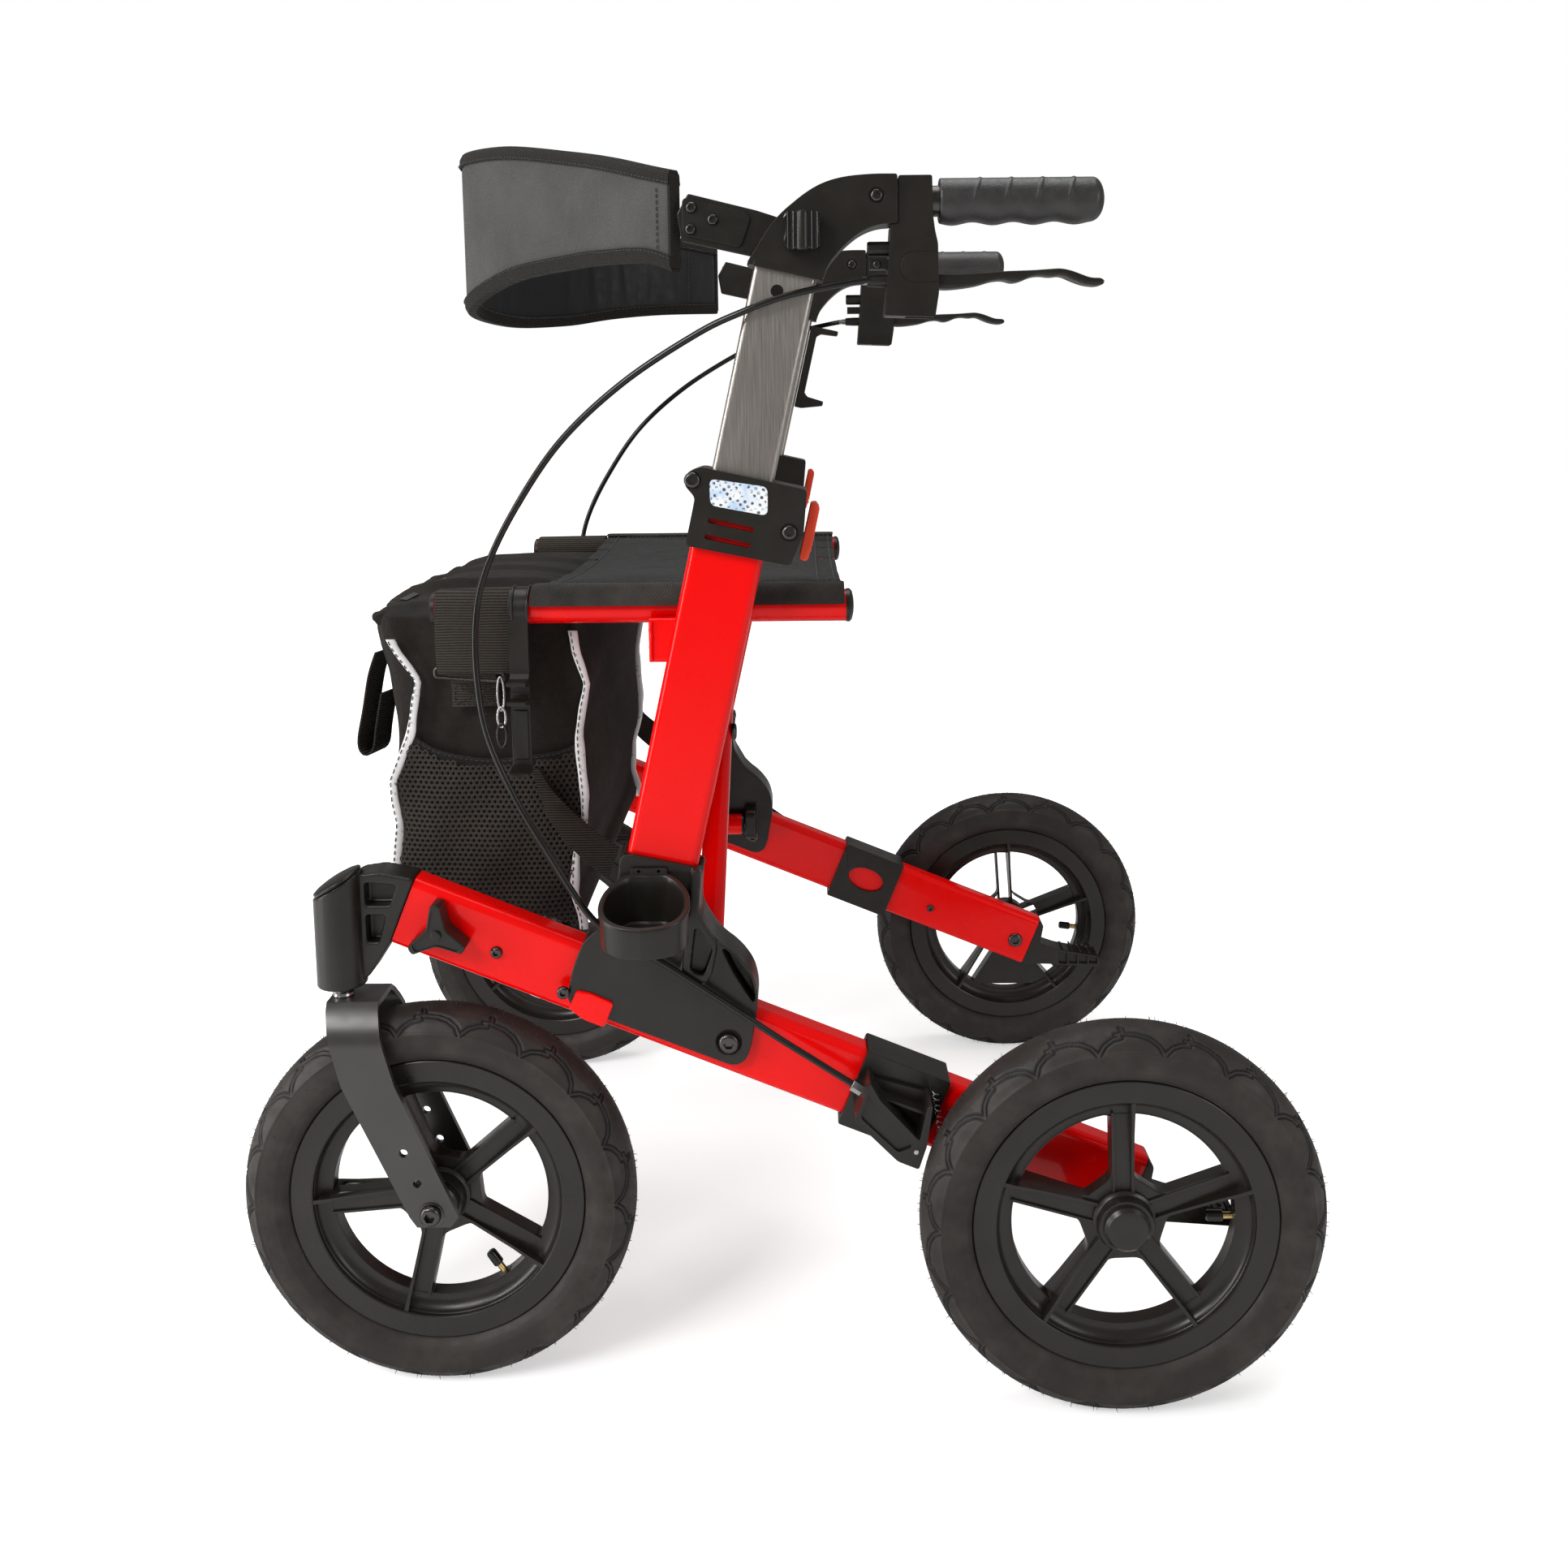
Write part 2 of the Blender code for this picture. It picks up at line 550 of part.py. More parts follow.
def cross_brace():
    """Two crossed tubes. Each has its foot on one side frame and the other side's seat tube at its top."""
    rise = (SEAT_TUBE_Z - BRACE_FOOT_Z) / (BRACE_FOOT_Y + SEAT_TUBE_Y)
    middle = Vector((0.0, 0.0, BRACE_FOOT_Z + BRACE_FOOT_Y * rise))
    for tag, side, x in (("a", 1, BRACE_X[0]), ("b", -1, BRACE_X[1])):
        foot = Vector((x, BRACE_FOOT_Y * side, BRACE_FOOT_Z))
        top = Vector((x, -SEAT_TUBE_Y * side, SEAT_TUBE_Z))
        origin = foot if side > 0 else Vector((x, 0.0, middle.z))
        brace = make(f"brace_{tag}", rod(foot, top, BRACE_R, 16), red, origin=origin, smooth=True)
        ends = [Vector((e, top.y, top.z)) for e in SEAT_TUBE_SPAN]
        join(brace, rod(ends[0], ends[1], SEAT_TUBE_R, 20))
        ends = [Vector((e, foot.y, foot.z)) for e in BRACE_FOOT_SPAN]
        join(brace, rod(ends[0], ends[1], 0.0114, 16))
        join(brace, rod((0.0325, foot.y, foot.z), (0.1015, foot.y, foot.z), PIN_R, 12))
        cut(brace, rod((0.03, 0.0, middle.z), (0.11, 0.0, middle.z), 0.0043, 12))
    place = (0.0390, 0.0930)
    bolt = [(place[0], 0.0075), (place[0] + 0.0035, 0.0075), (place[0] + 0.0035, 0.0040), (place[1], 0.0040)]
    rings = [[(x, u, middle.z + v) for u, v in circle(r, 12)] for x, r in bolt]
    make("brace_bolt", loft(rings), steel, origin=(BRACE_X[0], 0.0, middle.z), smooth=True)


def between(stations):
    """The stations with one more between each pair, on the cubic curve through their neighbours."""
    result = [stations[0]]
    for k in range(1, len(stations)):
        before, after = stations[max(k - 2, 0)], stations[min(k + 1, len(stations) - 1)]
        near = zip(before, stations[k - 1], stations[k], after)
        result += [tuple((9 * (b + c) - a - d) / 16 for a, b, c, d in near), stations[k]]
    return result


def soft_goods():
    """Plain solids for the seat, the bag and the backrest band."""
    lift, thick = SEAT_TUBE_R + 0.0006, 0.0040
    wrap = arc((SEAT_TUBE_Y, SEAT_TUBE_Z), lift, 18, 90, 5)
    sag = [(y, SEAT_TUBE_Z + lift - 0.010 * (1 - (y / SEAT_TUBE_Y) ** 2)) for y in (0.150, 0.075, 0.0)]
    under = wrap + sag
    over = arc((SEAT_TUBE_Y, SEAT_TUBE_Z), lift + thick, 18, 90, 5) + [(y, z + thick) for y, z in sag]
    full = under + [(-y, z) for y, z in reversed(under[:-1])]
    back = over + [(-y, z) for y, z in reversed(over[:-1])]
    outline = full + back[::-1]
    origin = (0.0, SEAT_TUBE_Y, SEAT_TUBE_Z)
    make("seat", loft([[(x, y, z) for y, z in outline] for x in (-0.0572, 0.1851)]), fabric, origin=origin)

    stations = [
        (0.1500, 0.186, 0.3390, 0.5950, 0.030), (0.1580, 0.190, 0.3370, 0.5980, 0.030),
        (0.3000, 0.190, 0.3720, 0.5900, 0.030), (0.3250, 0.176, 0.3800, 0.5750, 0.040),
        (0.3380, 0.140, 0.4000, 0.5500, 0.040),
    ]
    rings = []
    for x, half, low, high, corner in stations:
        middle = (low + high) / 2
        rings.append([(x, u, middle + v) for u, v in rounded(2 * half, high - low, corner, 4)])
    make("bag", loft(rings), fabric, origin=origin)

    band = [
        (0.2440, 0.0660, 0.859, 0.930), (0.2250, 0.0870, 0.867, 0.937), (0.1900, 0.1190, 0.870, 0.949),
        (0.1500, 0.1530, 0.871, 0.960), (0.0800, 0.2200, 0.866, 0.977), (0.0000, 0.2740, 0.847, 0.983),
        (-0.0800, 0.2560, 0.838, 0.978), (-0.1500, 0.2160, 0.842, 0.962), (-0.1950, 0.1740, 0.851, 0.950),
        (-0.2250, 0.1250, 0.857, 0.940), (-0.2440, 0.0660, 0.859, 0.930),
    ]
    band = between(between(band))
    rings = []
    for k, (y, x, low, high) in enumerate(band):
        before, after = band[max(k - 1, 0)], band[min(k + 1, len(band) - 1)]
        step = Vector((after[1] - before[1], after[0] - before[0], 0.0)).normalized()
        normal = Vector((-step.y, step.x, 0.0)) * 0.0065
        middle = Vector((x, y, 0.0))
        ring = [(-0.7, low), (0.7, low), (1.0, low + 0.006), (1.0, high - 0.006), (0.7, high), (-0.7, high),
                (-1.0, high - 0.006), (-1.0, low + 0.006)]
        rings.append([tuple(middle + normal * n + Vector((0.0, 0.0, z))) for n, z in ring])
    make("backrest", loft(rings), fabric)


def clips():
    """The two cane clips: one hung on the left seat tube, one on the rear of the right post."""
    y, z = SEAT_TUBE_Y, SEAT_TUBE_Z
    hook = arc((y, z), 0.0132, 200, -60, 12)
    outer = arc((y, z), 0.0165, 200, -20, 10)
    tail = [
        (0.2262, 0.596), (0.2262, 0.556), (0.2300, 0.552), (0.2420, 0.552), (0.2420, 0.5490),
        (0.2290, 0.5490), (0.2262, 0.546), (0.2262, 0.5400), (0.2290, 0.5370), (0.2420, 0.5370),
        (0.2420, 0.5340), (0.2290, 0.5340), (0.2262, 0.531), (0.2262, 0.4840), (0.2420, 0.4810),
        (0.2420, 0.4780), (0.2232, 0.4780), (0.2232, 0.596),
    ]
    outline = outer + tail + hook[::-1][2:]
    shape = loft([[(x, u, v) for u, v in outline] for x in (0.1870, 0.2020)])
    make("cane_clip_left", shape, plastic, origin=(0.0, SEAT_TUBE_Y, SEAT_TUBE_Z))

    rear = -POST_D / 2 - 0.0004
    shape = [
        (rear, 0.352), (rear, 0.441), (rear - 0.030, 0.441), (rear - 0.030, 0.436), (rear - 0.008, 0.434),
        (rear - 0.008, 0.366), (rear - 0.030, 0.364), (rear - 0.030, 0.359), (rear - 0.008, 0.352),
    ]
    make("cane_clip_right", plate([upright_at(*p) for p in shape], -0.2580, -0.2420), plastic)


def build():
    for side, tag, rear_turn, front_turn in ((1, "left", 16, -5), (-1, "right", 14, 30)):
        side_frame(side, tag)
        handle(side, tag)
        small_movers(side, tag)
        wheels(side, tag, rear_turn, front_turn)
        route = [
            (-0.0862, 0.2560, 0.8490), (-0.0689, 0.2590, 0.8490), (-0.0361, 0.2660, 0.8430),
            (-0.0106, 0.2675, 0.8370), (0.0149, 0.2660, 0.8280), (0.0491, 0.2600, 0.8130),
            (0.1052, 0.2540, 0.7780), (0.1535, 0.2500, 0.7350), (0.1896, 0.2500, 0.6840),
            (0.2124, 0.2500, 0.6390), (0.2209, 0.2510, 0.6020), (0.2210, 0.2530, 0.5560),
            (0.2139, 0.2550, 0.5130), (0.1945, 0.2580, 0.4670), (0.1700, 0.2650, 0.4270),
            (0.1400, 0.2730, 0.3820), (0.1180, 0.2762, 0.3635), (0.0829, 0.2770, 0.3430),
            (0.0531, 0.2768, 0.3226), (0.0254, 0.2760, 0.3029), (-0.0043, 0.2755, 0.2818),
            (-0.0300, 0.2760, 0.2650), (-0.0600, 0.2780, 0.2460),
        ]
        cable(f"brake_cable_{tag}", route, plastic, side)
    cross_brace()
    soft_goods()
    clips()


for old in list(bpy.data.objects):
    bpy.data.objects.remove(old, do_unlink=True)
red = material("red_paint", (0.80, 0.010, 0.008), 0.18, 0.0)
plastic = material("black_plastic", (0.035, 0.031, 0.028), 0.45, 0.0)
rubber = material("grip_rubber", (0.030, 0.028, 0.028), 0.65, 0.0)
tyre_rubber = material("tyre_rubber", (0.045, 0.040, 0.037), 0.75, 0.0)
aluminium = material("brushed_aluminium", (0.62, 0.58, 0.54), 0.32, 1.0)
steel = material("bolt_steel", (0.10, 0.10, 0.10), 0.30, 1.0)
steel_black = material("black_steel", (0.025, 0.023, 0.022), 0.35, 0.0)
fabric = material("woven_fabric", (0.030, 0.028, 0.028), 0.85, 0.0)
build()
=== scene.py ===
"""Looks for the all-terrain rollator: finishes, detailed mouldings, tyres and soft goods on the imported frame.
Metres, +X forward, +Y to the user's left, +Z up, as in the CAD model."""
import math
import random

import bmesh
import bpy
import numpy as np
from mathutils import Matrix, Vector
from mathutils.geometry import tessellate_polygon


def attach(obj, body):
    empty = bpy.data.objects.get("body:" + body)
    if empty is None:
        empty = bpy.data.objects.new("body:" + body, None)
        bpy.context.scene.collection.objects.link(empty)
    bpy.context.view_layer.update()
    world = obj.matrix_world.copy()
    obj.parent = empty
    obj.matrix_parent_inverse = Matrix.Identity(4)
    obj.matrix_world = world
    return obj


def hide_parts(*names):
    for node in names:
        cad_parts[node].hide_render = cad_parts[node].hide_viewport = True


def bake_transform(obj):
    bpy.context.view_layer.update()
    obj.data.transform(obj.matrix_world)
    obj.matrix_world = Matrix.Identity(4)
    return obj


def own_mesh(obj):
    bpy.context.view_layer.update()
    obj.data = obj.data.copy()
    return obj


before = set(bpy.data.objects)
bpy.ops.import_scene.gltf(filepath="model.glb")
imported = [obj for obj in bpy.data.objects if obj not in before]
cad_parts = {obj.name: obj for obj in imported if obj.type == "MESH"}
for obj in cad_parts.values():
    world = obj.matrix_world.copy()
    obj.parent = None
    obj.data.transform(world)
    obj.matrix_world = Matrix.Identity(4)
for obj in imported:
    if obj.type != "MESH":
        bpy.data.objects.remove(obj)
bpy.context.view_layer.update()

# wheels
TYRE_R, RIM_R = 0.1525, 0.1142
WINDOW_R = (0.034, 0.084)
SPOKE_W, SPOKES = 0.017, 5
TYRE_GRID = (1260, 61)  # points around the tyre, and from rim to crown
GROOVES, TREAD_R = 18, 0.1475  # arches around the tyre, and the radius on which they are spaced
GROOVE_DEPTH, GROOVE_OFF, GROOVE_WIDE = 0.0016, 0.0015, 0.0007
HAIRS = 330
REAR = (-0.2615, 0.300)
FRONT = (0.2615, 0.2605)
CASTER_X, FRONT_Y = 0.3315, 0.2605

# side frame
FRAME_Y = 0.250
RAIL_SLOPE = math.radians(22.3)
RAIL_H, RAIL_W = 0.056, 0.026
RAIL_MID = Vector((-0.0609, 0.0, 0.2385))
RAIL_SPAN = (-0.2372, 0.3712)
LEAN = math.radians(12.6)
UPRIGHT_D, UPRIGHT_W = 0.055, 0.027
UPRIGHT_FOOT = Vector((0.0831, 0.0, 0.4192))
UPRIGHT_SPAN = (-0.050, 0.262)
POST_D, POST_W = 0.0465, 0.020
POST_SPAN = (0.130, 0.4466)

# handle
GRIP_Z, GRIP_R, TUBE_R = 0.9058, 0.0162, 0.011
GRIP_SPAN = (-0.2445, -0.1262)
LEVER_PIVOT = (-0.1120, 0.8490)

# fold
SEAT_TUBE_R, SEAT_TUBE_Y, SEAT_TUBE_Z = 0.0125, 0.210, 0.6055
SEAT_TUBE_SPAN = (-0.0592, 0.2607)
BRACE_R, BRACE_X = 0.011, (0.0540, 0.0785)
BRACE_FOOT_Y, BRACE_FOOT_Z = 0.222, 0.295

CABLE_R = 0.0025
CABLE = [
    (-0.0862, 0.2560, 0.8490), (-0.0689, 0.2590, 0.8490), (-0.0361, 0.2660, 0.8430),
    (-0.0106, 0.2675, 0.8370), (0.0149, 0.2660, 0.8280), (0.0491, 0.2600, 0.8130), (0.1052, 0.2540, 0.7780),
    (0.1535, 0.2500, 0.7350), (0.1896, 0.2500, 0.6840), (0.2124, 0.2500, 0.6390), (0.2209, 0.2510, 0.6020),
    (0.2210, 0.2530, 0.5560), (0.2139, 0.2550, 0.5130), (0.1945, 0.2580, 0.4670), (0.1700, 0.2650, 0.4270),
    (0.1400, 0.2730, 0.3820), (0.1180, 0.2762, 0.3635), (0.0829, 0.2770, 0.3430), (0.0531, 0.2768, 0.3226),
    (0.0254, 0.2760, 0.3029), (-0.0043, 0.2755, 0.2818), (-0.0300, 0.2760, 0.2650), (-0.0600, 0.2780, 0.2460),
]

# soft goods: the fold's SLING and BAND (axis, anchor, share kept), which the soft pieces take as squash, and
# the bag's (z, x) outlines
SLING = ((0.0, 1.0, 0.0), (0.0, SEAT_TUBE_Y, SEAT_TUBE_Z), 0.366)
BAND = ((0.0, 1.0, 0.0), (0.0, FRAME_Y - 0.006, 0.90), 0.423)
OUTWARD = 1  # which way the band's stations face
FOLD_DEPTH = 0.0011
BAG_FRONT = ((0.3790, 0.3085), (0.4000, 0.3060), (0.4267, 0.3028), (0.4463, 0.3062), (0.4630, 0.3066),
             (0.4821, 0.2987), (0.5011, 0.2905), (0.5272, 0.2860), (0.5449, 0.2825), (0.5560, 0.2900),
             (0.5698, 0.3000), (0.5830, 0.3060), (0.5990, 0.3070))
BAG_NOSE = ((0.3740, 0.3100), (0.4463, 0.3082), (0.4697, 0.3100), (0.5207, 0.3185), (0.5449, 0.3215),
            (0.5665, 0.3230), (0.5844, 0.3250), (0.6000, 0.3220))
BAG_REAR = ((0.3350, 0.1560), (0.3474, 0.1564), (0.3671, 0.1630), (0.3842, 0.1620), (0.4013, 0.1605),
            (0.4279, 0.1530), (0.4497, 0.1523), (0.4809, 0.1549), (0.5000, 0.1555), (0.5214, 0.1520),
            (0.5403, 0.1480), (0.5497, 0.1506), (0.5662, 0.1559), (0.5850, 0.1584), (0.6000, 0.1590))
SEAT_LIFT, SEAT_SAG = 0.0026, 0.0095

SIDES = ((1, "left"), (-1, "right"))
along = Vector((math.cos(RAIL_SLOPE), 0.0, math.sin(RAIL_SLOPE)))
above = Vector((-math.sin(RAIL_SLOPE), 0.0, math.cos(RAIL_SLOPE)))
up = Vector((-math.sin(LEAN), 0.0, math.cos(LEAN)))
ahead = Vector((math.cos(LEAN), 0.0, math.sin(LEAN)))
sideways = Vector((0.0, 1.0, 0.0))


# ---------------------------------------------------------------- camera, floor and light

def set_camera():
    """The photograph's camera: level with the handles, on the rollator's left, looking slightly down."""
    yaw, pitch, roll = -0.005734, 0.123532, -0.009471
    cy, sy, cp, sp = math.cos(yaw), math.sin(yaw), math.cos(pitch), math.sin(pitch)
    cr, sr = math.cos(roll), math.sin(roll)
    base = Matrix(((-1, 0, 0), (0, 0, -1), (0, -1, 0)))
    turn_yaw = Matrix(((cy, 0, -sy), (0, 1, 0), (sy, 0, cy)))
    turn_pitch = Matrix(((1, 0, 0), (0, cp, -sp), (0, sp, cp)))
    turn_roll = Matrix(((cr, -sr, 0), (sr, cr, 0), (0, 0, 1)))
    rows = turn_roll @ turn_pitch @ turn_yaw @ base
    axes = Matrix((rows[0], -rows[1], -rows[2])).transposed()
    data = bpy.data.cameras.new("camera")
    data.lens, data.sensor_width = 31.722, 36.0
    data.shift_x, data.shift_y = -0.00819, -0.1344
    camera = bpy.data.objects.new("camera", data)
    camera.matrix_world = Matrix.Translation((-0.0267, 1.2757, 0.7629)) @ axes.to_4x4()
    bpy.context.scene.collection.objects.link(camera)
    bpy.context.scene.camera = camera


def area_light(name, place, target, size, energy, colour=(1.0, 1.0, 1.0)):
    data = bpy.data.lights.new(name, "AREA")
    data.shape = "RECTANGLE"
    data.size, data.size_y = size
    data.energy = energy
    data.color = colour
    light = bpy.data.objects.new(name, data)
    light.location = place
    light.rotation_euler = (Vector(target) - Vector(place)).to_track_quat("-Z", "Y").to_euler()
    bpy.context.scene.collection.objects.link(light)


def studio():
    """A plain white floor under soft boxes. The surround looks white and is dimmer as a source of light."""
    bpy.context.scene.view_settings.view_transform = "Standard"
    world = bpy.data.worlds.new("surround")
    world.use_nodes = True
    tree = world.node_tree
    seen, lit = tree.nodes["Background"], tree.nodes.new("ShaderNodeBackground")
    seen.inputs["Color"].default_value = (1.0, 1.0, 1.0, 1.0)
    lit.inputs["Color"].default_value = (1.0, 0.985, 0.97, 1.0)
    lit.inputs["Strength"].default_value = 0.26
    share, path = tree.nodes.new("ShaderNodeMixShader"), tree.nodes.new("ShaderNodeLightPath")
    tree.links.new(path.outputs["Is Camera Ray"], share.inputs[0])
    tree.links.new(lit.outputs[0], share.inputs[1])
    tree.links.new(seen.outputs[0], share.inputs[2])
    tree.links.new(share.outputs[0], tree.nodes["World Output"].inputs["Surface"])
    bpy.context.scene.world = world
    size = 9.0
    mesh = bpy.data.meshes.new("floor")
    mesh.from_pydata([(-size, -size, 0), (size, -size, 0), (size, size, 0), (-size, size, 0)], [],
                     [(0, 1, 2, 3)])
    floor = bpy.data.objects.new("floor", mesh)
    bpy.context.scene.collection.objects.link(floor)
    mat = bpy.data.materials.new("floor_white")
    mat.use_nodes = True
    shader = mat.node_tree.nodes["Principled BSDF"]
    shader.inputs["Base Color"].default_value = (0.95, 0.95, 0.95, 1.0)
    shader.inputs["Roughness"].default_value = 0.9
    shader.inputs["Specular IOR Level"].default_value = 0.1
    shader.inputs["Emission Color"].default_value = (1.0, 1.0, 1.0, 1.0)
    nodes, links = mat.node_tree.nodes, mat.node_tree.links
    spread, reach = nodes.new("ShaderNodeVectorMath"), nodes.new("ShaderNodeMapRange")
    spread.operation = "LENGTH"
    links.new(nodes.new("ShaderNodeTexCoord").outputs["Object"], spread.inputs[0])
    links.new(spread.outputs["Value"], reach.inputs["Value"])
    for name, number in (("From Min", 0.5), ("From Max", 1.6), ("To Min", 0.45), ("To Max", 1.1)):
        reach.inputs[name].default_value = number
    seen_only = nodes.new("ShaderNodeMath")
    seen_only.operation = "MULTIPLY"
    links.new(nodes.new("ShaderNodeLightPath").outputs["Is Camera Ray"], seen_only.inputs[0])
    links.new(reach.outputs["Result"], seen_only.inputs[1])
    links.new(seen_only.outputs[0], shader.inputs["Emission Strength"])
    mesh.materials.append(mat)
    area_light("key", (1.5, 1.9, 2.0), (0.0, 0.1, 0.5), (0.9, 0.9), 40)
    area_light("strip", (2.0, 0.9, 0.8), (0.1, 0.2, 0.5), (0.35, 1.6), 24)
    area_light("fill", (-2.0, 1.5, 1.1), (0.0, 0.1, 0.5), (0.7, 1.4), 13)
    area_light("top", (0.0, -0.2, 2.8), (0.0, 0.0, 0.4), (1.8, 1.8), 34)


# ---------------------------------------------------------------- finishes

class Finish:
    """A Principled material and short ways to feed its inputs from procedural patterns."""

    def __init__(self, name, colour, roughness, **inputs):
        self.mat = bpy.data.materials.new(name)
        self.mat.use_nodes = True
        self.mat.diffuse_color = (*colour, 1.0)
        self.tree = self.mat.node_tree
        self.shader = self.tree.nodes["Principled BSDF"]
        self.set("Base Color", (*colour, 1.0))
        self.set("Roughness", roughness)
        for key, value in inputs.items():
            self.set(key.replace("_", " "), value)

    def set(self, name, value):
        self.shader.inputs[name].default_value = value

    def node(self, kind, **settings):
        made = self.tree.nodes.new(kind)
        for key, value in settings.items():
            setattr(made, key, value)
        return made

    def feed(self, node, name, value):
        if isinstance(value, bpy.types.NodeSocket):
            self.tree.links.new(value, node.inputs[name])
        else:
            node.inputs[name].default_value = value

    def place(self, scale=(1.0, 1.0, 1.0), turn=(0.0, 0.0, 0.0), uv=None):
        """Coordinates in metres on the piece, stretched and turned."""
        if uv:
            source = self.node("ShaderNodeUVMap", uv_map=uv).outputs["UV"]
        else:
            source = self.node("ShaderNodeTexCoord").outputs["Object"]
        mapping = self.node("ShaderNodeMapping")
        self.feed(mapping, "Vector", source)
        mapping.inputs["Rotation"].default_value = turn
        mapping.inputs["Scale"].default_value = scale
        return mapping.outputs["Vector"]

    def noise(self, scale, detail=3.0, where=None):
        made = self.node("ShaderNodeTexNoise")
        self.feed(made, "Vector", where or self.place())
        self.feed(made, "Scale", scale)
        self.feed(made, "Detail", detail)
        return made.outputs["Fac"]

    def cells(self, scale, where=None, feature="F1"):
        made = self.node("ShaderNodeTexVoronoi", feature=feature)
        self.feed(made, "Vector", where or self.place())
        self.feed(made, "Scale", scale)
        return made.outputs["Distance"]

    def span(self, value, low, high, start=0.0, end=1.0):
        """Maps a value from one range to another, held inside it."""
        made = self.node("ShaderNodeMapRange")
        for name, number in (("Value", value), ("From Min", low), ("From Max", high), ("To Min", start),
                             ("To Max", end)):
            self.feed(made, name, number)
        return made.outputs["Result"]

    def maths(self, operation, a, b=0.0):
        made = self.node("ShaderNodeMath", operation=operation)
        for k, value in enumerate((a, b)):
            self.feed(made, k, value)
        return made.outputs[0]

    def wave(self, value, period):
        """From 0 to 1 and back, once each period."""
        turn = self.maths("MULTIPLY", value, 2 * math.pi / period)
        return self.span(self.maths("SINE", turn), -1.0, 1.0)

    def axes(self, where):
        made = self.node("ShaderNodeSeparateXYZ")
        self.feed(made, 0, where)
        return made.outputs

    def blend(self, share, first, second):
        made = self.node("ShaderNodeMix", data_type="RGBA")
        self.feed(made, 0, share)
        for slot, value in ((6, first), (7, second)):
            self.feed(made, slot, value if isinstance(value, bpy.types.NodeSocket) else (*value, 1.0))
        return made.outputs[2]

    def colour(self, share, first, second):
        self.feed(self.shader, "Base Color", self.blend(share, first, second))
        return self

    def rough(self, value, low, high):
        self.feed(self.shader, "Roughness", self.span(value, 0.25, 0.75, low, high))
        return self

    def bump(self, height, distance, strength=1.0, onto=None):
        made = self.node("ShaderNodeBump")
        self.feed(made, "Height", height)
        self.feed(made, "Distance", distance)
        self.feed(made, "Strength", strength)
        if onto:
            self.feed(made, "Normal", onto)
        self.feed(self.shader, "Normal", made.outputs["Normal"])
        return made.outputs["Normal"]


def gloss_paint():
    f = Finish("gloss_red", (0.82, 0.001, 0.001), 0.30, Specular_IOR_Level=0.12, Coat_Weight=0.32,
               Coat_Roughness=0.05, Coat_IOR=1.42)
    f.colour(f.noise(9.0), (0.74, 0.0005, 0.0005), (0.88, 0.0015, 0.001))
    f.rough(f.noise(40.0), 0.24, 0.34)
    f.bump(f.noise(420.0, 1.0), 0.00004, 0.35)
    return f.mat


def moulded(name, colour, low, high, grain=0.00006):
    """Satin plastic with a spark-eroded grain, slightly polished and paler in patches."""
    f = Finish(name, colour, (low + high) / 2, Specular_IOR_Level=0.36)
    paler = tuple(c * 1.45 for c in colour)
    f.colour(f.span(f.noise(26.0, 5.0), 0.35, 0.75), colour, paler)
    f.rough(f.noise(60.0, 4.0), low, high)
    f.bump(f.noise(1500.0, 2.0), grain, 0.5)
    return f.mat


def rubber():
    """Tyre rubber: brown-black, dusty in patches, with painted shade that darkens its grooves."""
    f = Finish("tyre_rubber", (0.022, 0.019, 0.017), 0.6, Specular_IOR_Level=0.35)
    groove = f.node("ShaderNodeAttribute", attribute_name="groove").outputs["Fac"]
    worn = f.blend(f.span(f.noise(34.0, 8.0), 0.45, 0.8), (0.018, 0.0145, 0.0125), (0.040, 0.0330, 0.0285))
    # painted shade: where the groove depth is high the colour goes nearly black, standing for the grooves'
    # shade
    f.colour(f.span(groove, 0.10, 0.6), worn, (0.003, 0.0025, 0.0025))
    f.rough(f.noise(90.0, 5.0), 0.46, 0.72)
    grain = f.maths("ADD", f.noise(900.0, 3.0), f.maths("MULTIPLY", f.noise(120.0, 4.0), 1.5))
    f.bump(grain, 0.00010, 0.6)
    return f.mat


def grip_rubber():
    f = Finish("grip_rubber", (0.020, 0.019, 0.019), 0.42, Specular_IOR_Level=0.5)
    leather = f.cells(620.0, f.place((1.0, 1.4, 1.4)))
    f.colour(f.noise(70.0, 4.0), (0.014, 0.013, 0.013), (0.034, 0.032, 0.031))
    f.rough(f.noise(200.0), 0.34, 0.52)
    f.bump(f.maths("ADD", leather, f.noise(300.0)), 0.00018, 0.55)
    return f.mat


def brushed():
    """Anodised aluminium, brushed along the post, with a few pits."""
    f = Finish("brushed_aluminium", (0.50, 0.46, 0.42), 0.34, Metallic=1.0, Anisotropic=0.5)
    lines = f.noise(1.0, 4.0, f.place((1400.0, 1400.0, 26.0), (0.0, LEAN, 0.0)))
    smear = f.noise(1.0, 3.0, f.place((26.0, 26.0, 5.0), (0.0, LEAN, 0.0)))
    f.colour(f.maths("ADD", f.maths("MULTIPLY", lines, 0.5), f.maths("MULTIPLY", smear, 0.6)),
             (0.22, 0.20, 0.18), (0.54, 0.50, 0.46))
    f.rough(lines, 0.26, 0.44)
    pits = f.span(f.noise(260.0, 1.0), 0.72, 0.78)
    f.bump(f.maths("SUBTRACT", lines, pits), 0.00005, 0.5)
    return f.mat


def metal(name, colour, roughness):
    f = Finish(name, colour, roughness, Metallic=1.0)
    f.colour(f.noise(300.0), tuple(c * 0.8 for c in colour), colour)
    f.rough(f.noise(500.0), roughness * 0.7, roughness * 1.3)
    f.bump(f.noise(1200.0), 0.00002, 0.4)
    return f.mat


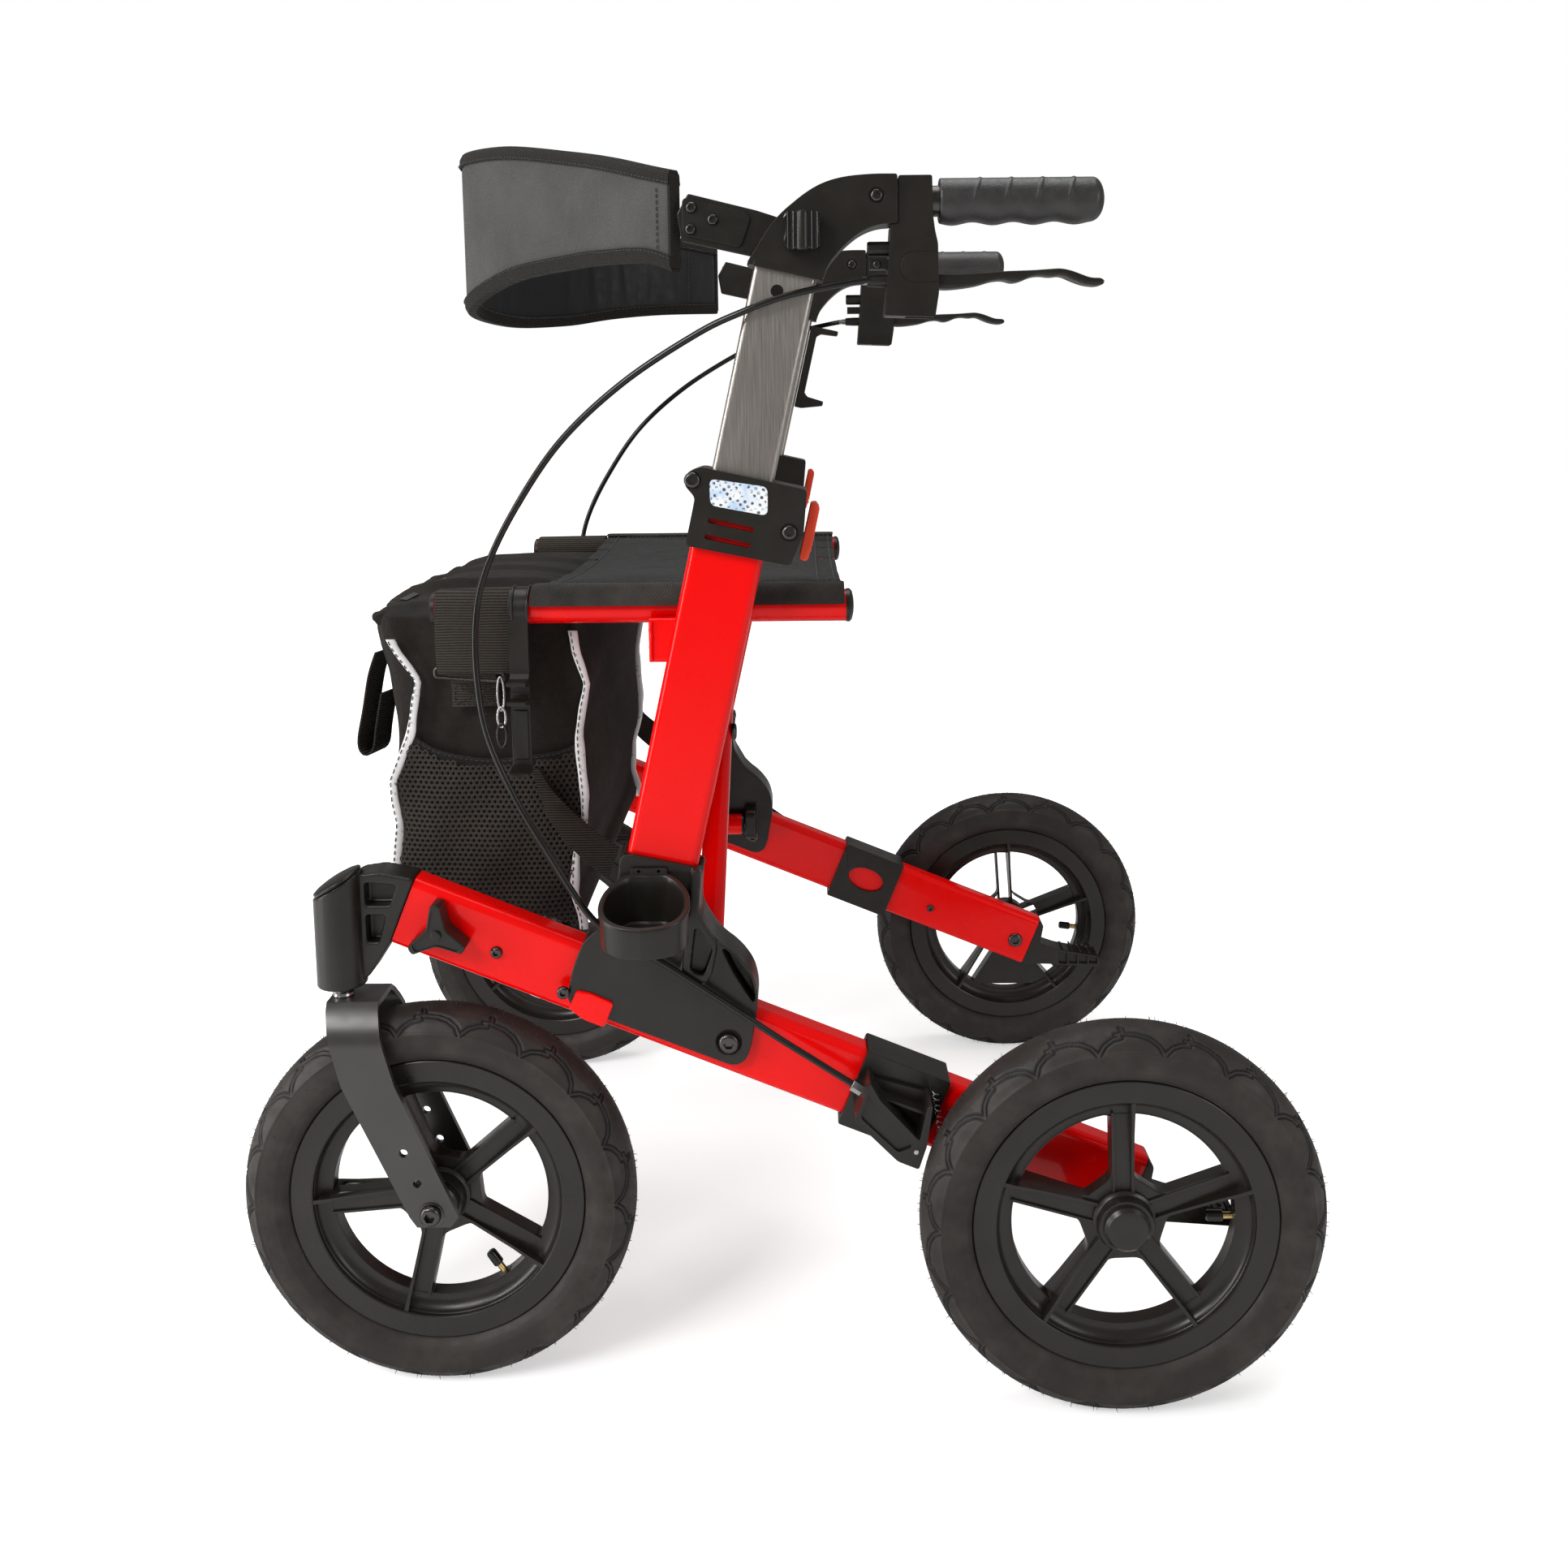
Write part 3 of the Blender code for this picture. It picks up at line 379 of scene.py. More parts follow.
def fork_black():
    """Powder-coated steel with a soft sheen."""
    f = Finish("powder_black", (0.022, 0.019, 0.017), 0.35, Coat_Weight=0.3, Coat_Roughness=0.25)
    f.colour(f.noise(18.0, 4.0), (0.016, 0.014, 0.013), (0.032, 0.028, 0.026))
    f.rough(f.noise(80.0, 4.0), 0.28, 0.42)
    f.bump(f.noise(800.0, 2.0), 0.00004, 0.4)
    return f.mat


def reflector():
    """A prismatic sticker: bright cells, a few of them dark, tinted blue at one end."""
    f = Finish("reflector", (0.75, 0.78, 0.82), 0.15, Specular_IOR_Level=0.8, Coat_Weight=1.0,
               Coat_Roughness=0.03)
    where = f.place(turn=(0.0, LEAN, 0.0))
    x, _, z = f.axes(where)
    pitch = 0.0056
    chequer = f.maths("MULTIPLY", f.maths("SUBTRACT", f.wave(x, pitch), 0.5),
                      f.maths("SUBTRACT", f.wave(z, pitch), 0.5))
    dark = f.maths("MULTIPLY", f.span(chequer, 0.03, 0.10), f.span(f.noise(260.0, 1.0), 0.42, 0.60))
    pearl = f.blend(f.span(f.noise(90.0, 2.0), 0.35, 0.65), (0.86, 0.88, 0.90), (0.50, 0.66, 0.86))
    f.colour(dark, pearl, (0.07, 0.07, 0.09))
    f.rough(f.noise(900.0), 0.08, 0.3)
    f.bump(chequer, 0.0002, 0.6)
    return f.mat


def cloth(name, dark, pale, pitch=0.0009, turn=0.0, roughness=0.85, sheen=0.25, twill=False, deep=0.00018):
    """Woven cloth: crossing threads, or twill lines, over slow changes of colour, with a soft sheen."""
    f = Finish(name, dark, roughness, Specular_IOR_Level=0.16, Sheen_Weight=sheen, Sheen_Roughness=0.5)
    where = f.place(turn=(0.0, turn, 0.0))
    x, y, z = f.axes(where)
    across, on = f.maths("ADD", x, y), f.maths("SUBTRACT", z, f.maths("MULTIPLY", y, 0.5))
    if twill:
        threads = f.wave(f.maths("ADD", across, on), pitch)
        fine = f.wave(f.maths("SUBTRACT", across, on), pitch * 0.5)
        weave = f.maths("ADD", threads, f.maths("MULTIPLY", fine, 0.3))
    else:
        weave = f.maths("ADD", f.wave(across, pitch), f.wave(on, pitch))
    worn = f.span(f.noise(20.0, 6.0), 0.32, 0.72)
    base = f.blend(worn, dark, pale)
    lit = tuple(min(1.0, c * 1.9) for c in pale)
    f.colour(f.span(weave, 0.7, 2.0, 0.0, 0.45), base, lit)
    f.rough(f.noise(150.0, 4.0), roughness - 0.1, roughness + 0.1)
    creases = f.bump(f.noise(30.0, 5.0), 0.0010, 0.35)
    f.bump(weave, deep, 0.7, creases)
    return f.mat


def ribbed(name, dark, pale, pitch=0.0020, along=2):
    """Webbing or a bound edge: raised ribs of thick yarn, broken by a finer cross thread; painted highlight and
    shade follow the ribs.
    """
    f = Finish(name, dark, 0.8, Specular_IOR_Level=0.2, Sheen_Weight=0.05, Sheen_Roughness=0.5)
    axes = f.axes(f.place())
    rib = f.wave(f.maths("ADD", axes[along], f.maths("MULTIPLY", f.noise(50.0), 0.0012)), pitch)
    cross = f.wave(axes[0] if along == 2 else axes[2], 0.0010)
    height = f.maths("ADD", rib, f.maths("MULTIPLY", cross, 0.35))
    # painted highlight and shade: the colour follows the rib height, pale on the rib tops and dark in the
    # hollows between them
    f.colour(f.span(height, 0.2, 1.2), dark, pale)
    f.rough(f.noise(300.0), 0.7, 0.9)
    f.bump(height, 0.0004, 0.8)
    return f.mat


def reflective_tape():
    """Silver-white piping: tiny glass beads that read as pale grey, scuffed here and there."""
    f = Finish("reflective_piping", (0.66, 0.66, 0.65), 0.4, Metallic=0.1, Coat_Weight=0.3,
               Coat_Roughness=0.2)
    scuffs = f.span(f.noise(160.0, 5.0), 0.60, 0.74)
    f.colour(scuffs, f.blend(f.noise(40.0), (0.52, 0.52, 0.52), (0.80, 0.80, 0.79)), (0.10, 0.10, 0.10))
    f.rough(f.noise(90.0), 0.3, 0.6)
    f.bump(f.noise(220.0, 3.0), 0.0004, 0.5)
    return f.mat


def lining():
    """Smooth black lining, wrinkled, with a faint shine on its folds."""
    f = Finish("lining_black", (0.006, 0.006, 0.0065), 0.5, Specular_IOR_Level=0.3, Sheen_Weight=0.05)
    f.colour(f.noise(24.0, 5.0), (0.004, 0.004, 0.0045), (0.011, 0.011, 0.012))
    f.rough(f.noise(120.0, 3.0), 0.45, 0.65)
    wrinkles = f.bump(f.noise(55.0, 4.0, f.place((1.0, 1.0, 0.25))), 0.0022, 0.6)
    f.bump(f.noise(900.0, 2.0), 0.00008, 0.5, wrinkles)
    return f.mat


def finish_all():
    """Every hard finish by name."""
    return {
        "red": gloss_paint(),
        "plastic": moulded("satin_black", (0.0105, 0.0087, 0.0066), 0.27, 0.42),
        "rim": moulded("rim_black", (0.0120, 0.0100, 0.0080), 0.24, 0.38),
        "rubber": rubber(),
        "grip": grip_rubber(),
        "aluminium": brushed(),
        "bolt": metal("bolt_black", (0.09, 0.085, 0.08), 0.28),
        "bright": metal("bright_zinc", (0.46, 0.46, 0.45), 0.25),
        "brass": metal("brass", (0.62, 0.45, 0.20), 0.3),
        "fork": fork_black(),
        "lever_red": moulded("lever_red", (0.62, 0.045, 0.015), 0.25, 0.4),
        "reflector": reflector(),
        "seat": cloth("seat_cloth", (0.007, 0.007, 0.0065), (0.014, 0.0135, 0.013), 0.0011, roughness=0.7,
                      sheen=0.04, deep=0.00010),
        "hem": cloth("seat_hem", (0.008, 0.007, 0.006), (0.052, 0.046, 0.041), 0.0021, sheen=0.05, twill=True,
                     deep=0.0005),
        "twill": cloth("grey_twill", (0.050, 0.047, 0.046), (0.070, 0.067, 0.066), 0.0017, sheen=0.12,
                       twill=True, deep=0.0003),
        "canvas": cloth("bag_canvas", (0.0065, 0.0052, 0.0042), (0.0150, 0.0118, 0.0090), 0.0010, sheen=0.04),
        "binding": ribbed("black_binding", (0.007, 0.006, 0.005), (0.021, 0.019, 0.016), 0.0012),
        "webbing": ribbed("black_webbing", (0.0030, 0.0026, 0.0022), (0.046, 0.036, 0.027), 0.0021),
        "net": cloth("pocket_net", (0.022, 0.0185, 0.015), (0.044, 0.037, 0.030), 0.0007, roughness=0.6,
                     sheen=0.1),
        "thread": cloth("black_thread", (0.008, 0.007, 0.007), (0.020, 0.018, 0.017), 0.0005, roughness=0.6),
        "reflective": reflective_tape(),
        "lining": lining(),
        "sheath": moulded("cable_sheath", (0.0065, 0.0060, 0.0055), 0.16, 0.26, 0.00002),
    }


# ---------------------------------------------------------------- shapes

def arc(centre, radius, start, end, count):
    """Points on an arc, angles in degrees."""
    turn = [math.radians(start + (end - start) * i / (count - 1)) for i in range(count)]
    return [(centre[0] + radius * math.cos(a), centre[1] + radius * math.sin(a)) for a in turn]


def rounded(width, height, corner, steps=8):
    half_u, half_v = width / 2 - corner, height / 2 - corner
    places = ((half_u, half_v, 0), (-half_u, half_v, 90), (-half_u, -half_v, 180), (half_u, -half_v, 270))
    return [p for u, v, turn in places for p in arc((u, v), corner, turn, turn + 90, steps)]


def softened(outline, radius, steps=5):
    """The closed outline with its corners rounded, as far as its edges allow. A point may give its radius."""
    result = []
    count = len(outline)
    for k in range(count):
        a, b, c = (Vector(outline[(k + n) % count][:2]) for n in (-1, 0, 1))
        back, on = (a - b), (c - b)
        own = outline[k][2] if len(outline[k]) > 2 else radius
        reach = min(own, back.length * 0.49, on.length * 0.49)
        start, end = b + back.normalized() * reach, b + on.normalized() * reach
        for i in range(steps):
            t = i / (steps - 1)
            result.append(tuple(start * (1 - t) ** 2 + b * 2 * t * (1 - t) + end * t * t))
    return result


def curve_through(points, step):
    """A smooth line through the points, with a point every step or so."""
    path = [Vector(p) for p in points]
    fine = [path[0]]
    for a, b, c, d in zip([path[0]] + path, path, path[1:], path[2:] + [path[-1]]):
        steps = max(1, round((c - b).length / step))
        for i in range(1, steps + 1):
            t = i / steps
            bend = 2 * b + (c - a) * t + (2 * a - 5 * b + 4 * c - d) * t**2 + (3 * b - a - 3 * c + d) * t**3
            fine.append(bend / 2)
    return fine


def loft(rings, ends=True):
    count = len(rings[0])
    points = [tuple(p) for ring in rings for p in ring]
    faces = [tuple(range(count)), tuple(range(len(points) - count, len(points)))] if ends else []
    for k in range(len(rings) - 1):
        for i in range(count):
            j = (i + 1) % count
            faces.append((k * count + i, k * count + j, (k + 1) * count + j, (k + 1) * count + i))
    return points, faces


def loop(rings):
    """A closed ring through rings of equal length."""
    points, faces = loft(rings, ends=False)
    count, last = len(rings[0]), (len(rings) - 1) * len(rings[0])
    faces += [(last + i, last + (i + 1) % count, (i + 1) % count, i) for i in range(count)]
    return points, faces


def plate(outline, low, high):
    return loft([[(x, y, z) for x, z in outline] for y in (low, high)])


def bar(start, end, section, first, second):
    return loft([[p + first * u + second * v for u, v in section] for p in (Vector(start), Vector(end))])


def circle(radius, count):
    return [(radius * math.cos(2 * math.pi * i / count), radius * math.sin(2 * math.pi * i / count))
            for i in range(count)]


def frame_of(axis):
    """Two directions across an axis."""
    axis = Vector(axis).normalized()
    first = axis.cross(Vector((0, 0, 1)))
    if first.length < 0.1:
        first = axis.cross(Vector((1, 0, 0)))
    first.normalize()
    return first, axis.cross(first)


def lathe(place, axis, profile, count=32):
    """A solid turned about an axis through a place, from (distance along it, radius) pairs."""
    first, second = frame_of(axis)
    axis, place = Vector(axis).normalized(), Vector(place)
    return loft([[place + axis * s + first * u + second * v for u, v in circle(r, count)]
                 for s, r in profile])


def lathe_ring(place, profile, count=160):
    """A ring turned about the Y axis, from a closed profile of (y, radius) pairs."""
    rings = []
    for k in range(count):
        a = 2 * math.pi * k / count
        rings.append([(place[0] + r * math.cos(a), place[1] + y, place[2] + r * math.sin(a))
                      for y, r in profile])
    return loop(rings)


def tube(path, radius, count=12, swell=None):
    """A round tube along a path. swell gives a factor on the radius at each point."""
    rings = []
    first = None
    for k, p in enumerate(path):
        step = (Vector(path[min(k + 1, len(path) - 1)]) - Vector(path[max(k - 1, 0)])).normalized()
        if first is None:
            first = frame_of(step)[0]
        first = (first - step * first.dot(step)).normalized()
        second = step.cross(first)
        r = radius * (swell(k) if swell else 1.0)
        rings.append([Vector(p) + first * u + second * v for u, v in circle(r, count)])
    return loft(rings)


def swap(shape, side):
    return [(p[0], p[1] * side, p[2]) for p in shape[0]], shape[1]


def merged(*shapes):
    points, faces = [], []
    for more, more_faces in shapes:
        start = len(points)
        points += [tuple(p) for p in more]
        faces += [tuple(i + start for i in face) for face in more_faces]
    return points, faces


def inset(outline, amount, hole):
    """The outline moved into the material by an amount."""
    area = sum(a[0] * b[1] - b[0] * a[1] for a, b in zip(outline, outline[1:] + outline[:1]))
    way = amount * (1 if area > 0 else -1) * (-1 if hole else 1)
    moved = []
    for k, here in enumerate(outline):
        back = (Vector(here) - Vector(outline[k - 1])).normalized()
        on = (Vector(outline[(k + 1) % len(outline)]) - Vector(here)).normalized()
        normal = Vector((-back.y - on.y, back.x + on.x))
        normal = normal / max(normal.length_squared / 2, 0.6)
        moved.append((here[0] + normal.x * way, here[1] + normal.y * way))
    return moved


def slab(outlines, low, high, edge):
    """A plate with rounded rims: the first outline is its edge and the others are holes, in (x, z)."""
    levels = [(low, edge), (low + 0.3 * edge, 0.3 * edge), (low + edge, 0.0)]
    levels += [(high - edge, 0.0), (high - 0.3 * edge, 0.3 * edge), (high, edge)]
    walls, caps = [], []
    for k, outline in enumerate(outlines):
        rings = [[(x, y, z) for x, z in inset(outline, amount, k > 0)] for y, amount in levels]
        walls.append(loft(rings, ends=False))
        caps.append([Vector((x, z, 0.0)) for x, z in inset(outline, edge, k > 0)])
    flat = [p for cap in caps for p in cap]
    faces = tessellate_polygon(caps)
    ends = [([(p.x, y, p.y) for p in flat], [tuple(f) for f in faces]) for y in (low, high)]
    return merged(*walls, *ends)


def panel(outline, corner, low, high):
    """A plate of an (x, z) outline with rounded corners."""
    return plate(softened(outline, corner), low, high)


def rounded_slab(outline, corner, low, high, edge):
    """A slab of one (x, z) outline with rounded corners and rims."""
    return slab([softened(outline, corner)], low, high, edge)


def rail_at(distance, rise=0.0):
    p = RAIL_MID + along * distance + above * rise
    return p.x, p.z


def upright_at(forward, height):
    p = UPRIGHT_FOOT + ahead * forward + up * height
    return p.x, p.z


def on_plane(pair, y=FRAME_Y):
    return Vector((pair[0], y, pair[1]))


# ---------------------------------------------------------------- making pieces

def mesh_object(name, parts):
    """One object from (shape, material) pairs."""
    points, faces, slots, mats = [], [], [], []
    for shape, mat in parts:
        if mat not in mats:
            mats.append(mat)
        start = len(points)
        points += [tuple(p) for p in shape[0]]
        faces += [tuple(i + start for i in face) for face in shape[1]]
        slots += [mats.index(mat)] * len(shape[1])
    mesh = bpy.data.meshes.new(name)
    mesh.from_pydata(points, [], faces)
    for mat in mats:
        mesh.materials.append(mat)
    mesh.polygons.foreach_set("material_index", slots)
    obj = bpy.data.objects.new(name, mesh)
    bpy.context.scene.collection.objects.link(obj)
    return obj


def tidy(obj, merge=0.00002):
    """Joins doubled points and turns every face outwards."""
    bm = bmesh.new()
    bm.from_mesh(obj.data)
    bmesh.ops.remove_doubles(bm, verts=bm.verts, dist=merge)
    bmesh.ops.recalc_face_normals(bm, faces=bm.faces)
    bm.to_mesh(obj.data)
    bm.free()


def smooth_by_angle(obj, degrees):
    obj.data.shade_smooth()
    obj.data.set_sharp_from_angle(angle=math.radians(degrees))


def bake(obj):
    """Applies an object's modifiers and removes the cutters that they used."""
    tools = [m.object for m in obj.modifiers if m.type == "BOOLEAN"]
    bpy.context.view_layer.update()
    mesh = bpy.data.meshes.new_from_object(obj.evaluated_get(bpy.context.evaluated_depsgraph_get()))
    obj.modifiers.clear()
    obj.data = mesh
    for tool in tools:
        bpy.data.objects.remove(tool)


def combined(obj, shape, operation):
    tool = mesh_object("tool", [(shape, None)])
    tidy(tool)
    step = obj.modifiers.new("step", "BOOLEAN")
    step.operation, step.solver, step.object = operation, "EXACT", tool


def hard_piece(name, parts, body, side=1, edge=0.0, angle=35, replaces=(), cuts=(), joins=(), segments=2):
    """A hard piece from (shape, material) pairs, mirrored to its side, cut and joined, its edges softened."""
    obj = mesh_object(name, [(swap(shape, side), mat) for shape, mat in parts])
    tidy(obj)
    for operation, shapes in (("UNION", joins), ("DIFFERENCE", cuts)):
        for shape in shapes:
            combined(obj, swap(shape, side), operation)
    if cuts or joins:
        bake(obj)
        tidy(obj)
    if edge:
        bevel = obj.modifiers.new("edge", "BEVEL")
        bevel.width, bevel.segments, bevel.limit_method = edge, segments, "ANGLE"
        bevel.angle_limit = math.radians(angle)
        bevel.use_clamp_overlap, bevel.harden_normals = True, False
        bake(obj)
    smooth_by_angle(obj, angle)
    weighted = obj.modifiers.new("normals", "WEIGHTED_NORMAL")
    weighted.keep_sharp = True
    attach(obj, body)
    if replaces:
        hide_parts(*replaces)
    return obj


def moulding(name, shapes, mat, body, side=1, voxel=0.0009, smooth=6, joins=(), cuts=(), replaces=()):
    """A soft-edged moulding: shapes run together, cut, and their edges rounded off by remeshing."""
    obj = mesh_object(name, [(swap(shape, side), mat) for shape in shapes])
    tidy(obj)
    for operation, tools in (("UNION", joins), ("DIFFERENCE", cuts)):
        for shape in tools:
            combined(obj, swap(shape, side), operation)
    bake(obj)
    remesh = obj.modifiers.new("skin", "REMESH")
    remesh.mode, remesh.voxel_size, remesh.adaptivity = "VOXEL", voxel, 0.0
    soften = obj.modifiers.new("soften", "SMOOTH")
    soften.factor, soften.iterations = 0.5, smooth
    bake(obj)
    obj.data.materials.clear()
    obj.data.materials.append(mat)
    obj.data.shade_smooth()
    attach(obj, body)
    if replaces:
        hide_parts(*replaces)
    return obj


def socket_bolt(place, axis, radius, height=0.003):
    """A button head with a hexagon socket."""
    place, axis = Vector(place), Vector(axis).normalized()
    first, second = frame_of(axis)
    hexagon = [(radius * 0.52 * math.cos(math.pi * k / 3), radius * 0.52 * math.sin(math.pi * k / 3))
               for k in range(6)]
    fine = [p for a, b in zip(hexagon, hexagon[1:] + hexagon[:1])
            for p in ((a[0] + (b[0] - a[0]) * i / 4, a[1] + (b[1] - a[1]) * i / 4) for i in range(4))]
    rings = []
    for s, r in ((0.0, 1.0), (0.35, 1.0), (0.72, 0.93), (0.95, 0.78), (1.0, 0.62)):
        rings.append([place + axis * height * s + first * u + second * v for u, v in circle(radius * r, 24)])
    for s, r in ((1.0, 1.0), (0.25, 1.0)):
        rings.append([place + axis * height * s + first * u * r + second * v * r for u, v in fine])
    return loft(rings)


def bolts(name, places, body, side=1, mat="bolt"):
    """Several socket bolts on one body: (place, axis, radius) each."""
    parts = [(socket_bolt(*place), finishes[mat]) for place in places]
    return hard_piece(name, parts, body, side, angle=40)


# ---------------------------------------------------------------- wheels

def tyre_mesh():
    """A tyre about the Y axis: double-line grooves that arch from the shoulder, and vent hairs all over."""
    around, across = TYRE_GRID
    half = np.array([
        (0.1142, 0.0148), (0.1150, 0.0168), (0.1178, 0.0192), (0.1186, 0.0200), (0.1240, 0.0227),
        (0.1300, 0.0235), (0.1350, 0.0234), (0.1378, 0.0232), (0.1392, 0.0228), (0.1405, 0.0216),
        (0.1450, 0.0186), (0.1490, 0.0140), (0.1513, 0.0088), (0.1522, 0.0045), (0.1525, 0.0),
    ])
    run = np.concatenate([[0], np.cumsum(np.hypot(*np.diff(half, axis=0).T))])
    spread = np.linspace(0, run[-1], across)
    radius, width = np.interp(spread, run, half[:, 0]), np.interp(spread, run, half[:, 1])
    for _ in range(2):
        radius[1:-1] = (radius[:-2] + 2 * radius[1:-1] + radius[2:]) / 4
        width[1:-1] = (width[:-2] + 2 * width[1:-1] + width[2:]) / 4
    ridge = run[8]
    width = width + 0.0009 * np.exp(-(((spread - ridge + 0.0006) / 0.0008) ** 2))
    turn = 2 * math.pi * np.arange(around) / around
    pitch = 2 * math.pi * TREAD_R / GROOVES
    arch = [(0.0, 0.0), (-0.0045, 0.0060), (-0.0110, 0.0105), (-0.0190, 0.0132), (-0.0280, 0.0142),
            (-0.0360, 0.0140)]
    hook = [(0.0, 0.0), (0.0060, 0.0062), (0.0130, 0.0100), (0.0190, 0.0112), (0.0172, 0.0138),
            (0.0215, 0.0160), (0.0200, 0.0205)]

    def groove(shift, mirror):
        u = (turn * TREAD_R + shift)[None, :] * mirror
        s = (spread - ridge)[:, None]
        near = np.full((across, around), 1.0)
        for line in (arch, hook):
            for (u0, s0), (u1, s1) in zip(line, line[1:]):
                length = math.hypot(u1 - u0, s1 - s0)
                du, ds = (u1 - u0) / length, (s1 - s0) / length
                offset = (u - u0 + pitch / 2) % pitch - pitch / 2
                t = np.clip(offset * du + (s - s0) * ds, 0, length)
                near = np.minimum(near, np.hypot(offset - t * du, s - s0 - t * ds))
        return GROOVE_DEPTH * np.exp(-(((near - GROOVE_OFF) / GROOVE_WIDE) ** 2)) * (s > -0.0004)

    rows, depths = [], []
    for mirror, shift in ((1, 0.0), (-1, 0.013)):
        depth = groove(shift, mirror)
        slope = np.stack([np.gradient(width), -np.gradient(radius)], 1)
        slope /= np.linalg.norm(slope, axis=1)[:, None]
        r = radius[:, None] + slope[:, :1] * depth
        y = (width[:, None] + slope[:, 1:] * depth) * mirror
        rows.append(np.stack([r * np.cos(turn), y + 0 * r, r * np.sin(turn)], 2))
        depths.append(depth)
    grid = np.concatenate([rows[0], rows[1][-2::-1]])
    # the groove depth, kept so that the rubber can darken the grooves with it as painted shade
    shade = np.concatenate([depths[0], depths[1][-2::-1]]).reshape(-1) / GROOVE_DEPTH
    points = [tuple(p) for p in grid.reshape(-1, 3)]
    faces = []
    for k in range(len(grid) - 1):
        for i in range(around):
            j = (i + 1) % around
            faces.append((k * around + i, k * around + j, (k + 1) * around + j, (k + 1) * around + i))
    chance = random.Random(7)
    hairs = []
    for k in range(HAIRS):
        a = 2 * math.pi * (k + chance.random() * 0.7) / HAIRS
        place = chance.choice((len(spread) - 1, len(spread) - 9, len(spread) - 18, 24))
        side = chance.choice((1, -1))
        nx, ny = -slope[place]
        r, y = radius[place], width[place] * side
        base = Vector((r * math.cos(a), y, r * math.sin(a)))
        out = Vector((nx * math.cos(a), ny * side, nx * math.sin(a)))
        lean = Vector((-math.sin(a), chance.uniform(-0.4, 0.4), math.cos(a))) * chance.uniform(-0.5, 0.5)
        tip = base + (out + lean).normalized() * chance.uniform(0.0014, 0.0030)
        hairs.append(lathe(base, tip - base, ((-0.0003, 0.00032), ((tip - base).length, 0.00014)), 5))
    return merged((points, faces), *hairs), shade


def rim_profile():
    """The rim's ring as a closed (y, radius) profile: flange, step, concave barrel, and the windows' land."""
    half = [(0.0148, RIM_R), (0.0162, RIM_R - 0.0004), (0.0166, 0.1132), (0.0166, 0.0976), (0.0160, 0.0967),
            (0.0132, 0.0964), (0.0126, 0.0958)]
    half += [(0.0126 - 0.0064 * math.sin(t), 0.0958 - 0.0098 * (1 - math.cos(t)) ** 0.8)
             for t in np.linspace(0.15, math.pi / 2, 9)]
    half += [(0.0062, 0.0848), (0.0056, 0.0838)]
    return half + [(-y, r) for y, r in reversed(half)]


def window(turn, number):
    """The outline of one window between two spokes, about the hub."""
    pitch = 2 * math.pi / SPOKES
    middle = math.radians(turn) + (number + 0.5) * pitch

    def corner(radius, way):
        return middle + way * (pitch / 2 - math.asin(SPOKE_W / 2 / radius))

    outline = []
    for radius, way in ((WINDOW_R[0], -1), (WINDOW_R[0], 1)):
        outline.append((radius * math.cos(corner(radius, way)), radius * math.sin(corner(radius, way))))
    outer = WINDOW_R[1]
    start, end = corner(outer, 1), corner(outer, -1)
    count = 15
    outline += [(outer * math.cos(start + (end - start) * i / count),
                 outer * math.sin(start + (end - start) * i / count))
                for i in range(count + 1)]
    return softened(outline, 0.0055, 5)


def at(place, pair):
    return place[0] + pair[0], place[2] + pair[1]


